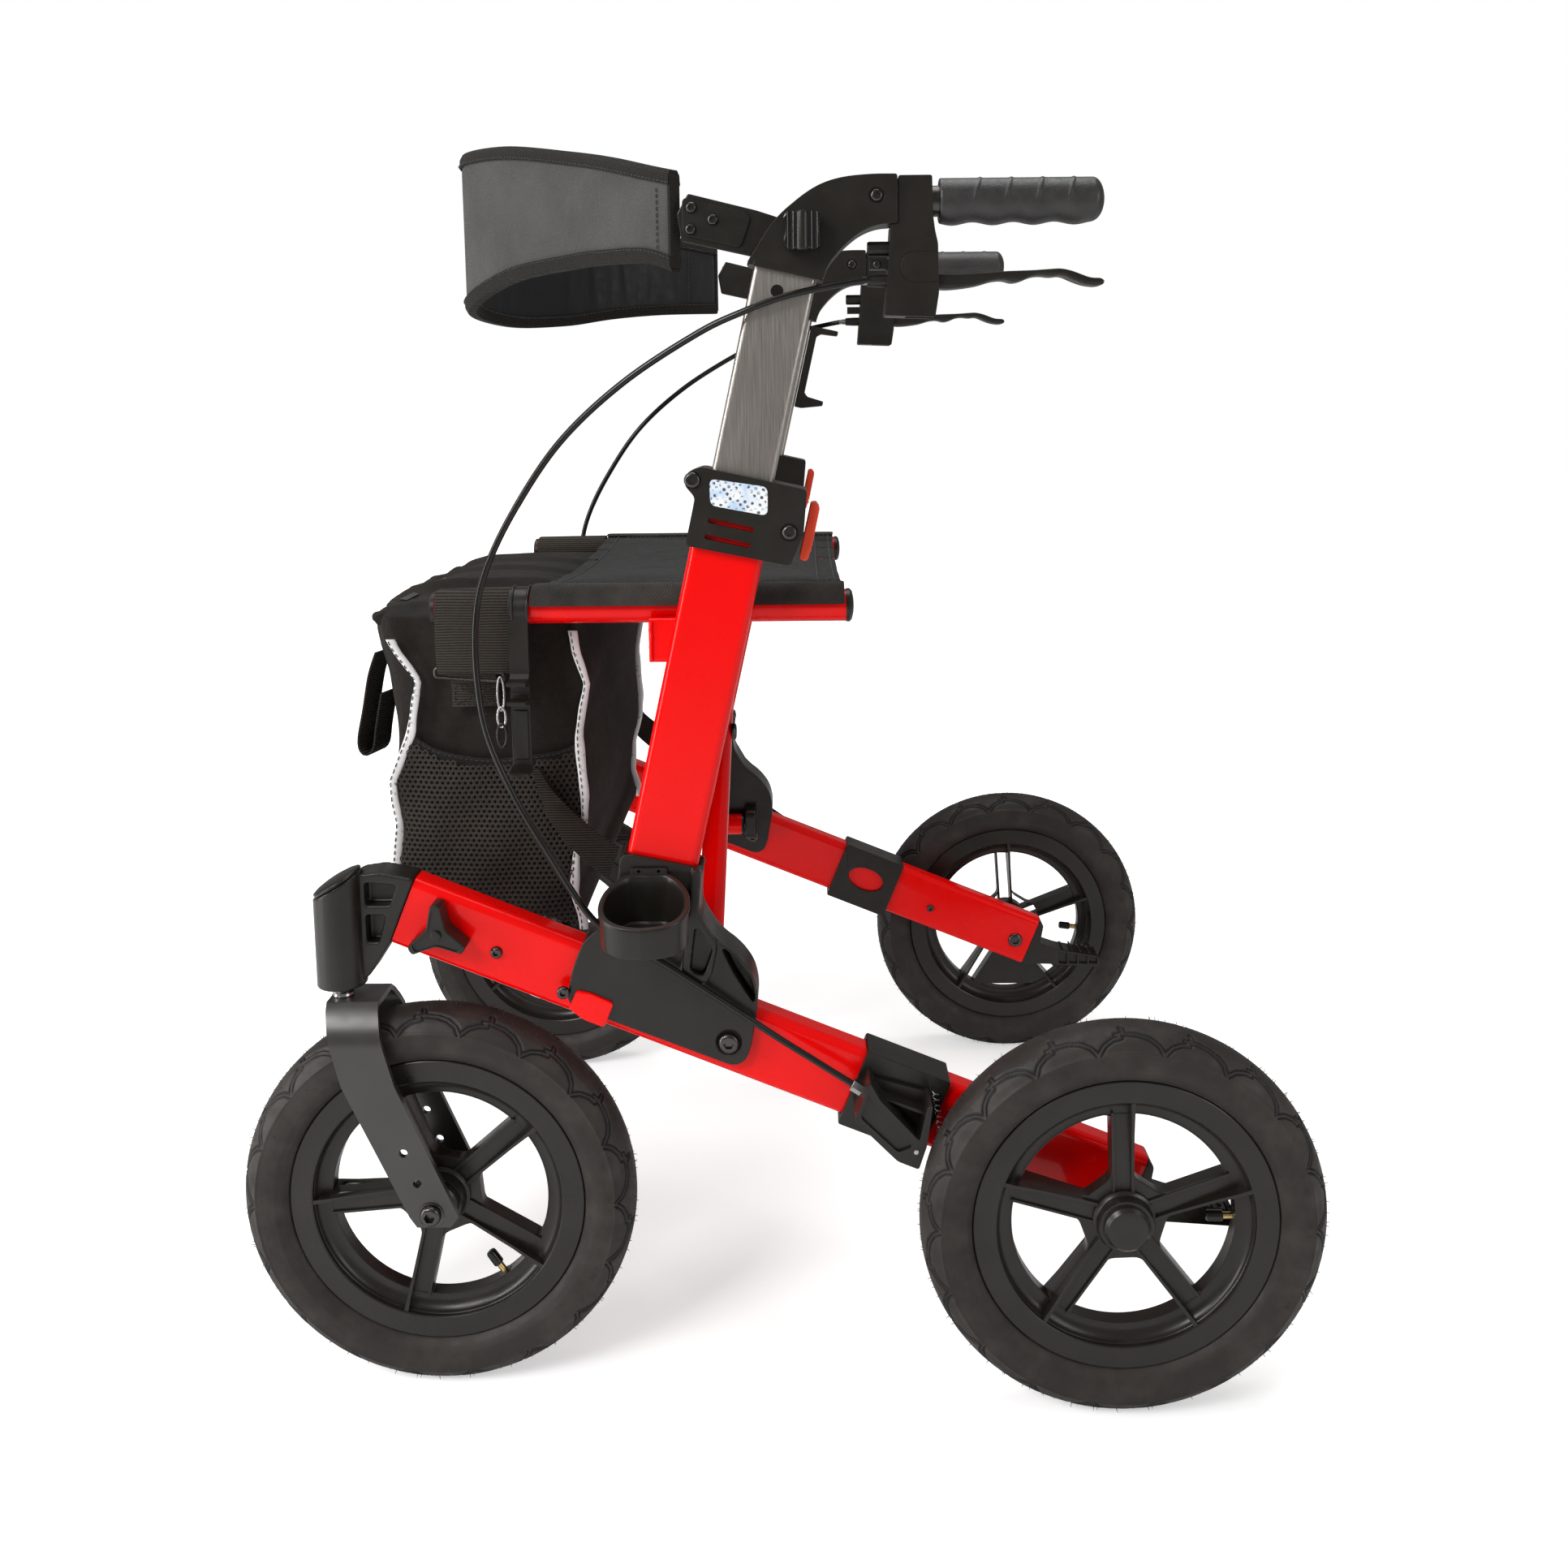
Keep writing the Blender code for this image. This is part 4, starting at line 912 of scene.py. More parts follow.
def wheel(where, centre, side, turn, valve, hub, body, tag):
    """The rim, with ribs, hub and valve, and the tyre."""
    place = Vector((centre[0], centre[1], TYRE_R))
    disc = [[at(place, p) for p in circle(0.0852, 96)]]
    disc += [[at(place, p) for p in window(turn, k)] for k in range(SPOKES)]
    y = place.y
    parts = [(lathe_ring(place, rim_profile()), finishes["rim"]),
             (slab(disc, y - 0.0050, y + 0.0064, 0.0011), finishes["rim"])]
    for k in range(SPOKES):
        a = math.radians(turn) + 2 * math.pi * k / SPOKES
        out, across = Vector((math.cos(a), 0, math.sin(a))), Vector((-math.sin(a), 0, math.cos(a)))
        for level, reach in ((0.0150, 0.0972), (-0.0150, 0.0972)):
            rib = []
            for distance, height, wide in ((0.012, 0.62, 0.0016), (0.034, 0.58, 0.0014),
                                           (0.070, 0.80, 0.0014), (0.086, 0.97, 0.0016),
                                           (reach, 1.05, 0.0021)):
                middle = place + out * distance + across * (SPOKE_W / 2 - 0.0016)
                rib.append([middle + across * wide, middle + across * wide * 0.8 + sideways * level * height,
                            middle - across * wide * 0.8 + sideways * level * height, middle - across * wide])
            parts.append((loft(rib), finishes["rim"]))
        edge = []
        for distance in (0.020, 0.060, 0.0855):
            middle = place + out * distance - across * (SPOKE_W / 2 - 0.0012)
            edge.append([middle + across * 0.0011 - sideways * 0.006,
                         middle + across * 0.0009 + sideways * 0.0081, middle - across * 0.0009
                         + sideways * 0.0081, middle - across * 0.0011 - sideways * 0.006])
        parts.append((loft(edge), finishes["rim"]))
    low, high = hub
    ring = [(low, 0.0120), (low, 0.0155), (low + 0.002, 0.0168), (-0.006, 0.0175), (-0.005, 0.0235),
            (0.0085, 0.0235), (0.0098, 0.0215), (0.0110, 0.0208), (high - 0.0075, 0.0205),
            (high - 0.0066, 0.0199), (high - 0.0064, 0.0176), (high - 0.0034, 0.0172),
            (high - 0.0008, 0.0148), (high, 0.0115), (high + 0.0001, 0.0060)]
    parts.append((lathe(place, sideways, ring, 48), finishes["rim"]))
    a = math.radians(valve)
    inward = Vector((-math.cos(a), 0, -math.sin(a)))
    foot = place - inward * 0.0905
    boss = [(0.0, 0.0062), (0.0062, 0.0060), (0.0072, 0.0054)]
    stem = [(0.004, 0.0026), (0.0150, 0.0026), (0.0165, 0.0022)]
    cap = [(0.0150, 0.0036), (0.0156, 0.0041), (0.0255, 0.0040), (0.0270, 0.0034), (0.0276, 0.0018)]
    parts.append((lathe(foot, inward, boss, 20), finishes["rim"]))
    parts.append((lathe(foot, inward, stem, 14), finishes["brass"]))
    parts.append((lathe(foot, inward, cap, 16), finishes["sheath"]))
    obj = mesh_object(f"{where}_wheel_{tag}", parts)
    tidy(obj)
    smooth_by_angle(obj, 32)
    obj.modifiers.new("normals", "WEIGHTED_NORMAL").keep_sharp = True
    if side < 0:
        mirror = Matrix.Diagonal((1, -1, 1, 1))
        obj.data.transform(Matrix.Translation(place) @ mirror @ Matrix.Translation(-place))
        obj.data.flip_normals()
    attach(obj, body)
    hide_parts(f"{where}_rim_{tag}")
    rubber_ring = bpy.data.objects.new(f"{where}_tyre_skin_{tag}", tyre_data)
    rubber_ring.location = place
    bpy.context.scene.collection.objects.link(rubber_ring)
    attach(rubber_ring, body)
    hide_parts(f"{where}_tyre_{tag}")


def wheels():
    turns = {"left": (16, 181, -5, 236), "right": (14, 187, 30, 250)}
    for side, tag in SIDES:
        rear_turn, rear_valve, front_turn, front_valve = turns[tag]
        wheel("rear", (REAR[0], REAR[1] * side), side, rear_turn, rear_valve, (-0.0225, 0.0235),
              f"rear_wheel_{tag}", tag)
        wheel("front", (FRONT[0], FRONT[1] * side), side, front_turn, front_valve, (-0.0265, 0.0265),
              f"front_wheel_{tag}", tag)


def cables():
    """Brake cables, from the brake housings to the brakes: glossy sheath, ribbed over the last stretch."""
    for side, tag in SIDES:
        path = curve_through([(x, y * side, z) for x, y, z in CABLE], 0.004)
        sheath = mesh_object(f"cable_{tag}", [(tube(path, CABLE_R, 14), finishes["sheath"])])
        tidy(sheath)
        smooth_by_angle(sheath, 60)
        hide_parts(f"brake_cable_{tag}")
        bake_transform(sheath)


# ---------------------------------------------------------------- side frames

def rail_room(grow=0.0004):
    ends = [on_plane(rail_at(s)) for s in (-0.12, RAIL_SPAN[1] + 0.02)]
    return bar(*ends, rounded(RAIL_H + 2 * grow, RAIL_W + 2 * grow, 0.007), above, sideways)


def upright_room(low, high, depth=UPRIGHT_D, width=UPRIGHT_W, corner=0.006):
    ends = [on_plane(upright_at(0, t)) for t in (low, high)]
    return bar(*ends, rounded(depth + 0.0008, width + 0.0008, corner), ahead, sideways)


def painted_tubes(side, tag):
    """The rail with its bolts and the small red bracket, and the upright with its welded saddle."""
    red = finishes["red"]
    rail = bar(*[on_plane(rail_at(s)) for s in RAIL_SPAN], rounded(RAIL_H, RAIL_W, 0.007, 10), above,
               sideways)
    hard_piece(f"rail_tube_{tag}", [(rail, red)], f"frame_{tag}", side, replaces=[f"rail_{tag}"])
    bracket = [rail_at(s, n) for s, n in ((0.1955, -0.0040), (0.1955, -0.0250), (0.2130, -0.0250),
                                          (0.2260, -0.0210), (0.2260, -0.0050), (0.2150, -0.0030))]
    face = FRAME_Y + RAIL_W / 2
    # painted shade: a thin dark plate on the rail's face stands for a slot in the tube, where there is only
    # shade
    dark = finishes["sheath"]
    slot_shade_plate = rounded_slab([rail_at(s, n) for s, n in ((0.2275, -0.0040), (0.2275, -0.0100),
                                                         (0.2320, -0.0100), (0.2320, -0.0040))], 0.002,
                             face - 0.001, face + 0.0004, 0.0002)
    parts = [(rounded_slab(bracket, 0.003, face - 0.001, 0.2722, 0.0012), red), (slot_shade_plate, dark)]
    hard_piece(f"rail_bracket_{tag}", parts, f"frame_{tag}", side)
    low, high = [on_plane(upright_at(0, t)) for t in UPRIGHT_SPAN]
    tube_shape = bar(low, high, rounded(UPRIGHT_D, UPRIGHT_W, 0.006, 10), ahead, sideways)
    hollow = bar(high - up * 0.12, high + up * 0.002, rounded(UPRIGHT_D - 0.005, UPRIGHT_W - 0.005, 0.0035),
                 ahead, sideways)
    hard_piece(f"upright_tube_{tag}", [(tube_shape, red)], f"frame_{tag}", side, replaces=[f"upright_{tag}"],
               cuts=[hollow])
    saddle = softened([(0.2372, 0.566), (0.2372, 0.600), (0.2235, 0.600), (0.2205, 0.5965), (0.2195, 0.5935),
                       (0.2195, 0.580), (0.2250, 0.566)], 0.003)
    shape = loft([[(x, y, z) for y, z in saddle] for x in (0.0600, 0.0927)])
    chance = random.Random(3)
    bead = [Vector((0.0905, 0.2368, 0.568)) + Vector((0, 0, 1)) * 0.0033 * k
            + Vector((chance.uniform(0, 0.0006), 0, 0))
            for k in range(10)]
    weld = [(tube(bead, 0.0017, 10, lambda k: 1.0 + 0.25 * (k % 2)), red)]
    hard_piece(f"saddle_{tag}", [(shape, red)] + weld, f"frame_{tag}", side, edge=0.0008)
    heads = [((0.2118, face, 0.3469), (0, 1, 0), 0.0046), ((0.1598, 0.2720, 0.3184), (0, 1, 0), 0.0050),
             ((0.0345, 0.2712, 0.2764), (0, 1, 0), 0.0078), ((-0.0158, 0.2695, 0.6681), (0, 1, 0), 0.0056),
             (on_plane(upright_at(0.0350, 0.2870), 0.2695), (0, 1, 0), 0.0060),
             ((-0.1662, 0.2372, 0.1901), (0, -1, 0), 0.0040), ((-0.2629, 0.2372, 0.1516), (0, -1, 0), 0.0080),
             ((0.0345, 0.2350, 0.2764), (0, -1, 0), 0.0070)]
    bolts(f"frame_bolts_{tag}", heads, f"frame_{tag}", side)


def knuckle(side, tag):
    """The moulding where rail and upright meet: collar, fin behind the cup, and two pockets."""
    outline = [(0.1145, 0.4273), (0.0528, 0.4140), (0.0554, 0.3795), (0.0417, 0.3565), (0.0254, 0.3440),
               (0.0150, 0.3290), (0.0118, 0.3140), (0.0122, 0.3030), (0.0180, 0.2700), (0.0225, 0.2600),
               (0.0314, 0.2569), (0.1585, 0.3077), (0.1539, 0.3330), (0.1440, 0.3582), (0.1262, 0.3720),
               (0.1172, 0.4000)]
    body = panel(outline, 0.009, 0.2345, 0.2700)
    collar_ends = [on_plane(upright_at(0, t)) for t in (-0.0050, -0.0002)]
    lip = bar(*collar_ends, rounded(0.0640, 0.0385, 0.009), ahead, sideways)
    fin = panel([(0.0600, 0.4150), (0.0530, 0.4140), (0.0554, 0.3795), (0.0417, 0.3560), (0.0470, 0.3300),
                 (0.0560, 0.3230), (0.0700, 0.3300), (0.0640, 0.3700)], 0.006, 0.2600, 0.2745)
    ears = [loft([[(x, y, z) for y, z in softened([(0.2140, 0.2800), (0.2140, 0.3100), (0.2400, 0.3160),
                                                   (0.2400, 0.2760)],
                                                  0.006)] for x in span])
            for span in ((0.0300, 0.0418), (0.0910, 0.1025))]
    pocket = panel([(0.0588, 0.3690), (0.0550, 0.3690), (0.0450, 0.3520), (0.0525, 0.3310), (0.0630, 0.3350)],
                   0.004, 0.2665, 0.2900)
    rear = panel([(0.0400, 0.3535), (0.0290, 0.3448), (0.0172, 0.3290), (0.0140, 0.3150), (0.0143, 0.3060),
                  (0.0215, 0.3170), (0.0310, 0.3330)], 0.003, 0.2550, 0.2800)
    recess = lathe((0.0345, 0.2685, 0.2764), sideways, ((0.0, 0.0098), (0.02, 0.0098)), 32)
    moulding(f"knuckle_{tag}", [body], finishes["plastic"], f"frame_{tag}", side, joins=[lip, fin, *ears],
             cuts=[rail_room(), upright_room(-0.06, 0.02), pocket, rear, recess],
             replaces=[f"frame_knuckle_{tag}"])


def cup(side, tag):
    """The open cup for a cane: an egg-shaped rim with a lip, standing off the knuckle."""
    half = [(0.0, 0.2728), (0.0140, 0.2728), (0.0232, 0.2800), (0.0308, 0.2920), (0.0334, 0.3040),
            (0.0322, 0.3150), (0.0265, 0.3245), (0.0150, 0.3312), (0.0, 0.3336)]
    line = curve_through([Vector((0.0926 + x, y, 0)) for x, y in half], 0.0018)
    whole = line + [Vector((2 * 0.0926 - p.x, p.y, 0)) for p in line[-2:0:-1]]
    middle = Vector((0.0926, 0.3020, 0.0))
    rings = []
    for size, height in ((0.86, 0.0), (0.93, 0.0004), (0.955, 0.003), (0.965, 0.030), (0.968, 0.0345),
                         (1.0, 0.0352), (1.0, 0.0385), (0.985, 0.0395), (0.90, 0.0395), (0.875, 0.0385),
                         (0.865, 0.0350), (0.84, 0.004), (0.80, 0.0025)):
        ring = []
        for p in whole:
            q = middle + (p - middle) * size
            base = 0.3725 - 0.08 * (q.y - 0.2725)
            top = 0.4120 - 0.35 * (q.y - 0.2725)
            ring.append((q.x, q.y, base + (top - base) * height / 0.0395))
        rings.append(ring)
    tab = rounded_slab([(0.0786, 0.3700), (0.1066, 0.3700), (0.1066, 0.4160), (0.0786, 0.4160)], 0.002,
                       0.2702, 0.2740, 0.0008)
    holes = [lathe((x, 0.2700, 0.4138), sideways, ((0.0, 0.0013), (0.01, 0.0013)), 10)
             for x in (0.0850, 0.1000)]
    hard_piece(f"cup_{tag}", [(loft(rings), finishes["plastic"])], f"frame_{tag}", side,
               replaces=[f"cane_cup_{tag}"])
    hard_piece(f"cup_tab_{tag}", [(tab, finishes["plastic"])], f"frame_{tag}", side, cuts=holes)


def caster_head(side, tag):
    """The casting at the rail's front end: upright barrel, webbed arm with two windows, and a domed cap."""
    arm = [rail_at(0.3716, 0.0280), (0.3000, 0.4110), (0.3180, 0.4085), (0.3315, 0.3980), (0.3315, 0.3400),
           (0.3190, 0.3272), (0.3107, 0.3272), rail_at(0.3716, -0.0270)]
    barrel = loft([[(CASTER_X + u, FRONT_Y + v, z if k == 0 else 0.4116 - 0.58 * (CASTER_X + u - 0.3145))
                    for u, v in circle(0.0187, 40)] for k, z in enumerate((0.3225, 0.0))])
    body = panel(arm, 0.004, FRAME_Y - 0.0125, FRAME_Y + 0.0145)
    panes = ([(0.3105, 0.4030), (0.2860, 0.4010), (0.2915, 0.3850), (0.3105, 0.3850)],
             [(0.3105, 0.3775), (0.2950, 0.3775), (0.3010, 0.3560), (0.3105, 0.3560)])
    windows = [panel(pane, 0.0018, *span) for span in ((0.2540, 0.2800), (0.2200, 0.2455)) for pane in panes]
    moulding(f"head_{tag}", [barrel], finishes["plastic"], f"frame_{tag}", side, joins=[body], cuts=windows,
             replaces=[f"caster_head_{tag}"], smooth=4)
    normal = Vector((0.5017, 0.0, 0.8650))
    lens = [(0.0, 0.0196), (0.0010, 0.0200), (0.0022, 0.0194), (0.0034, 0.0160), (0.0044, 0.0100),
            (0.0048, 0.0030)]
    lid = lathe(Vector((CASTER_X, FRONT_Y, 0.4028)), normal, lens, 48)
    hard_piece(f"head_cap_{tag}", [(lid, finishes["plastic"])], f"frame_{tag}", side, angle=50)


def brake(side, tag):
    """The sleeve on the rail, the shoe that presses the tyre, its rivet and spring, and the cable's end."""
    sleeve = [rail_at(s, n) for s, n in ((0, -0.0330), (0, 0.0305), (-0.069, 0.0305), (-0.069, -0.0330))]
    body = panel(sleeve, 0.002, 0.2335, 0.2668)
    oval_middle = on_plane(rail_at(-0.0345), 0.0)
    oval = [oval_middle + along * u * 0.0205 + above * v * 0.0125 for u, v in circle(1.0, 40)]
    window_cut = loft([[(p.x, y, p.z) for p in oval] for y in (0.2300, 0.2380)])
    hard_piece(f"brake_sleeve_{tag}", [(body, finishes["plastic"])], f"frame_{tag}", side, edge=0.0008,
               cuts=[rail_room(), window_cut], replaces=[f"brake_bracket_{tag}"])
    shoe = [(-0.0725, 0.2560), (-0.0605, 0.2265), (-0.0930, 0.1935), (-0.1090, 0.1868), (-0.1152, 0.2060),
            (-0.1195, 0.2375), (-0.1155, 0.2375), (-0.1095, 0.2095), (-0.0800, 0.2420)]
    wedge = panel(shoe, 0.0022, 0.2672, 0.2960)
    back = panel([(-0.0760, 0.2480), (-0.0860, 0.2300), (-0.1110, 0.2075), (-0.1170, 0.2360)], 0.002, 0.2674,
                 0.2715)
    shelf = panel([(-0.0810, 0.2390), (-0.0830, 0.2365), (-0.1135, 0.2240), (-0.1145, 0.2265)], 0.0008,
                  0.2680, 0.2840)
    hollow = panel([(-0.0710, 0.2470), (-0.0650, 0.2285), (-0.0935, 0.2005), (-0.1045, 0.2050),
                    (-0.0815, 0.2340)],
                   0.003, 0.2935, 0.2990)
    hard_piece(f"brake_shoe_{tag}", [(wedge, finishes["plastic"])], f"brake_arm_{tag}", side, edge=0.0006,
               joins=[back, shelf], cuts=[hollow], replaces=[f"brake_arm_{tag}"])
    rivet = lathe((-0.1072, 0.2955, 0.2010), sideways, ((0, 0.0022), (0.0010, 0.0020), (0.0014, 0.0010)), 16)
    hard_piece(f"brake_rivet_{tag}", [(rivet, finishes["bright"])], f"brake_arm_{tag}", side)
    coil = [Vector((-0.1235 - 0.0006 * k / 10, 0.2710, 0.2360 - 0.0005 * k)) +
            Vector((0.0024 * math.cos(k * 0.7), 0.0024 * math.sin(k * 0.7), 0)) for k in range(64)]
    spring = [(tube(coil, 0.0005, 6), finishes["bright"])]
    hard_piece(f"brake_spring_{tag}", spring, f"frame_{tag}", side, angle=60)
    end, before = Vector(CABLE[-1]), Vector(CABLE[-2])
    way = (end - before).normalized()
    ferrule = [(lathe(end - way * 0.0010, way, ((0, 0.0042), (0.0006, 0.0048), (0.0092, 0.0048),
                                                (0.0098, 0.0042)), 6),
                finishes["bright"]),
               (lathe(end + way * 0.0088, way, ((0, 0.0026), (0.0048, 0.0026), (0.0062, 0.0014)), 14),
                finishes["bright"])]
    hard_piece(f"cable_end_{tag}", ferrule, f"frame_{tag}", side)


def tip_pedal(side, tag):
    """The cap on the rail's rear end and the ribbed pedal for tipping the frame over a kerb."""
    outline = [rail_at(-0.2376, 0.0270), rail_at(-0.2436, 0.0240), (-0.2915, 0.1470), (-0.3110, 0.1400),
               (-0.3595, 0.1310), (-0.3600, 0.1180), (-0.3020, 0.1225), rail_at(-0.2376, -0.0270)]
    body = panel(outline, 0.004, FRAME_Y - 0.0125, FRAME_Y + 0.0125)
    cells = [panel([(x, 0.1335 + 0.16 * (x + 0.335)), (x - 0.0095, 0.1317 + 0.16 * (x + 0.335)),
                    (x - 0.0095, 0.1225), (x, 0.1235)], 0.0008, 0.2330, 0.2410)
             for x in (-0.3130, -0.3245, -0.3360, -0.3475)]
    ribs = [rounded_slab([(x, 0.1395), (x - 0.0022, 0.1390), (x - 0.0070, 0.1265), (x - 0.0048, 0.1265)],
                         0.0006, 0.2620, 0.2635, 0.0004)
            for x in (-0.3050, -0.3160, -0.3270, -0.3380, -0.3490)]
    grips = [tube([Vector((x, 0.2400, 0.1325 + 0.17 * (x + 0.36))),
                   Vector((x, 0.2600, 0.1325 + 0.17 * (x + 0.36)))],
                  0.0011, 8) for x in (-0.3180, -0.3280, -0.3380, -0.3480, -0.3560)]
    hard_piece(f"pedal_{tag}", [(body, finishes["plastic"])], f"frame_{tag}", side, edge=0.0010, cuts=cells,
               replaces=[f"tip_pedal_{tag}"])
    hard_piece(f"pedal_ribs_{tag}", [(shape, finishes["plastic"]) for shape in ribs + grips], f"frame_{tag}",
               side)
    spacer = [(lathe((REAR[0], 0.2632, TYRE_R), sideways,
                     ((0, 0.0110), (0.0076, 0.0110), (0.0078, 0.0070), (0.040, 0.0060)), 32),
               finishes["bolt"])]
    hard_piece(f"axle_stub_{tag}", spacer, f"frame_{tag}", side, replaces=[f"rear_axle_{tag}"])


def clamp(side, tag):
    """The height clamp: two slots that show the red tube, a reflector, and a lug for its bolt."""
    outline = [(0.0292, 0.2390), (0.0305, 0.2434), (0.0305, 0.2750), (0.0395, 0.2820), (0.0400, 0.2870),
               (0.0395, 0.2920), (0.0305, 0.2977), (-0.0484, 0.2975), (-0.0525, 0.2670), (-0.0481, 0.2405)]
    body = panel([upright_at(*p) for p in outline], 0.0030, 0.2335, 0.2698)
    grooves = []
    for t in (0.2605, 0.2485):
        line = softened([upright_at(p, t + d) for p, d in ((0.0180, -0.0016), (0.0180, 0.0022),
                                                           (-0.0165, 0.0022), (-0.0165, -0.0016))], 0.0019, 5)
        grooves += [loft([[(x, y, z) for x, z in line] for y in span])
                    for span in ((0.2560, 0.2800), (0.2200, 0.2440))]
    seat_cut = lathe((upright_at(0.0350, 0.2870)[0], 0.2690, upright_at(0.0350, 0.2870)[1]), sideways,
                     ((0, 0.0068), (0.01, 0.0068)), 6)
    rear_cut = lathe((-0.0158, 0.2690, 0.6681), sideways, ((0, 0.0068), (0.01, 0.0068)), 28)
    hard_piece(f"clamp_{tag}", [(body, finishes["plastic"])], f"frame_{tag}", side, edge=0.0012, segments=3,
               cuts=[upright_room(0.20, 0.2626), upright_room(0.22, 0.34, POST_D, POST_W, 0.0045), *grooves,
                     seat_cut, rear_cut],
               replaces=[f"height_clamp_{tag}"])
    corners = [(0.0421, 0.7079), (-0.0004, 0.7016), (-0.0001, 0.6803), (0.0418, 0.6883)]
    parts = [(rounded_slab(corners, 0.0050, 0.2690, 0.2704, 0.0003), finishes["reflector"])]
    hard_piece(f"reflector_{tag}", parts, f"frame_{tag}", side)


def clamp_lever(side, tag):
    lever = [(-0.0532, 0.2490), (-0.0532, 0.2880), (-0.0570, 0.2895), (-0.0605, 0.2860), (-0.0608, 0.2600),
             (-0.0598, 0.2460), (-0.0567, 0.2448), (-0.0536, 0.2462)]
    body = rounded_slab([upright_at(*p) for p in lever], 0.0015, 0.2390, 0.2610, 0.0010)
    ribs = [rounded_slab([upright_at(*p) for p in ((-0.0598, t), (-0.0611, t + 0.0006), (-0.0611, t + 0.0016),
                                                   (-0.0598, t + 0.0022))], 0.0004, 0.2415, 0.2585, 0.0004)
            for t in (0.2520, 0.2565, 0.2610)]
    parts = [(shape, finishes["lever_red"]) for shape in [body] + ribs]
    hard_piece(f"release_{tag}", parts, f"clamp_lever_{tag}", side, replaces=[f"clamp_lever_{tag}"])


def rail_knob(side, tag):
    """A three-armed star knob: concave between its arms, with a raised line round its face."""
    centre = (0.2528, 0.3672)

    def star(scale):
        points = []
        for k in range(3):
            a = 90 + 120 * k
            points += [(centre[0] + scale * r * math.cos(math.radians(a + d)),
                        centre[1] + scale * r * math.sin(math.radians(a + d)))
                       for r, d in ((0.0236, -9), (0.0240, 0), (0.0236, 9), (0.0115, 34), (0.0088, 60),
                                    (0.0115, 86))]
        return softened(points, 0.004, 6)

    body = slab([star(1.0)], 0.2646, 0.2815, 0.0012)
    recess = slab([star(0.84)], 0.2803, 0.2900, 0.0002)
    neck = lathe((centre[0], 0.2628, centre[1]), sideways, ((0, 0.0060), (0.004, 0.0060)), 24)
    button = lathe((centre[0], 0.2790, centre[1]), sideways,
                   ((0, 0.0040), (0.0030, 0.0038), (0.0036, 0.0028)), 24)
    hard_piece(f"star_knob_{tag}", [(body, finishes["plastic"])], f"rail_knob_{tag}", side, cuts=[recess],
               replaces=[f"rail_knob_{tag}"])
    hard_piece(f"star_knob_hub_{tag}", [(neck, finishes["bolt"]), (button, finishes["plastic"])],
               f"rail_knob_{tag}", side)


def fork(side, tag):
    """The front fork: one bent strip with spare axle holes, its stem, and the axle's bolt heads."""
    arm = [(0.0325, 0.1420, 0.2469, 0.2724), (0.0325, 0.1500, 0.2405, 0.2778),
           (0.0325, 0.2548, 0.2848, 0.3251), (0.0325, 0.2840, 0.2925, 0.3322),
           (0.0312, 0.2925, 0.2947, 0.3343), (0.0272, 0.2995, 0.2963, 0.3359),
           (0.0210, 0.3080, 0.2985, 0.3380), (0.0165, 0.3120, 0.2995, 0.3390)]
    path = arm + [(-y, z, a, b) for y, z, a, b in reversed(arm)]
    section_rings = []
    for k, (y, z, a, b) in enumerate(path):
        before, after = path[max(k - 1, 0)], path[min(k + 1, len(path) - 1)]
        step = Vector((after[0] - before[0], after[1] - before[1])).normalized()
        normal = Vector((-step.y, step.x)) * 0.00225
        section_rings.append([(a, FRONT_Y + y + normal.x, z + normal.y),
                              (b, FRONT_Y + y + normal.x, z + normal.y),
                              (b, FRONT_Y + y - normal.x, z - normal.y),
                              (a, FRONT_Y + y - normal.x, z - normal.y)])
    holes = [lathe((x, FRONT_Y - 0.06, z), sideways, ((0, 0.0033), (0.12, 0.0033)), 20)
             for x, z in ((0.2709, 0.1773), (0.2804, 0.2019))]
    hard_piece(f"fork_{tag}", [(loft(section_rings), finishes["fork"])], f"fork_{tag}", side, edge=0.0007,
               cuts=holes, replaces=[f"caster_fork_{tag}"], angle=25)
    neck = lathe((CASTER_X, FRONT_Y, 0.3125), (0, 0, 1),
                 ((0, 0.0080), (0.0015, 0.0086), (0.0030, 0.0078), (0.0046, 0.0078),
                  (0.0060, 0.0086), (0.0102, 0.0086)), 32)
    hard_piece(f"fork_neck_{tag}", [(neck, finishes["bright"])], f"fork_{tag}", side)
    axle = lathe((FRONT[0], FRONT_Y - 0.0345, TYRE_R), sideways, ((0, 0.0060), (0.069, 0.0060)), 24)
    nut = lathe((FRONT[0], FRONT_Y - 0.0345, TYRE_R), -sideways,
                ((0, 0.0088), (0.0050, 0.0088), (0.0060, 0.0078)), 6)
    washers = [lathe((FRONT[0], FRONT_Y + y, TYRE_R), sideways, ((0, 0.0098), (0.0010, 0.0098)), 28)
               for y in (0.0346, -0.0356)]
    head = socket_bolt((FRONT[0], FRONT_Y + 0.0352, TYRE_R), sideways, 0.0082, 0.0048)
    parts = [(shape, finishes["bolt"]) for shape in (axle, nut, head, *washers)]
    hard_piece(f"front_axle_set_{tag}", parts, f"fork_{tag}", side, replaces=[f"front_axle_{tag}"])


# ---------------------------------------------------------------- handles

def posts(side, tag):
    low, high = [on_plane(upright_at(0, t)) for t in POST_SPAN]
    shape = bar(low, high, rounded(POST_D, POST_W, 0.004, 8), ahead, sideways)
    hard_piece(f"post_tube_{tag}", [(shape, finishes["aluminium"])], f"handle_{tag}", side,
               replaces=[f"post_{tag}"])
    x, z = upright_at(0.0030, 0.4330)
    # painted shade: a thin dark disc on the post's face stands for the hole in the tube
    ring = lathe((x, 0.2599, z), sideways, ((0, 0.0046), (0.00025, 0.0046), (0.0003, 0.0038)), 28)
    hard_piece(f"post_hole_shade_{tag}", [(ring, finishes["sheath"])], f"handle_{tag}", side)


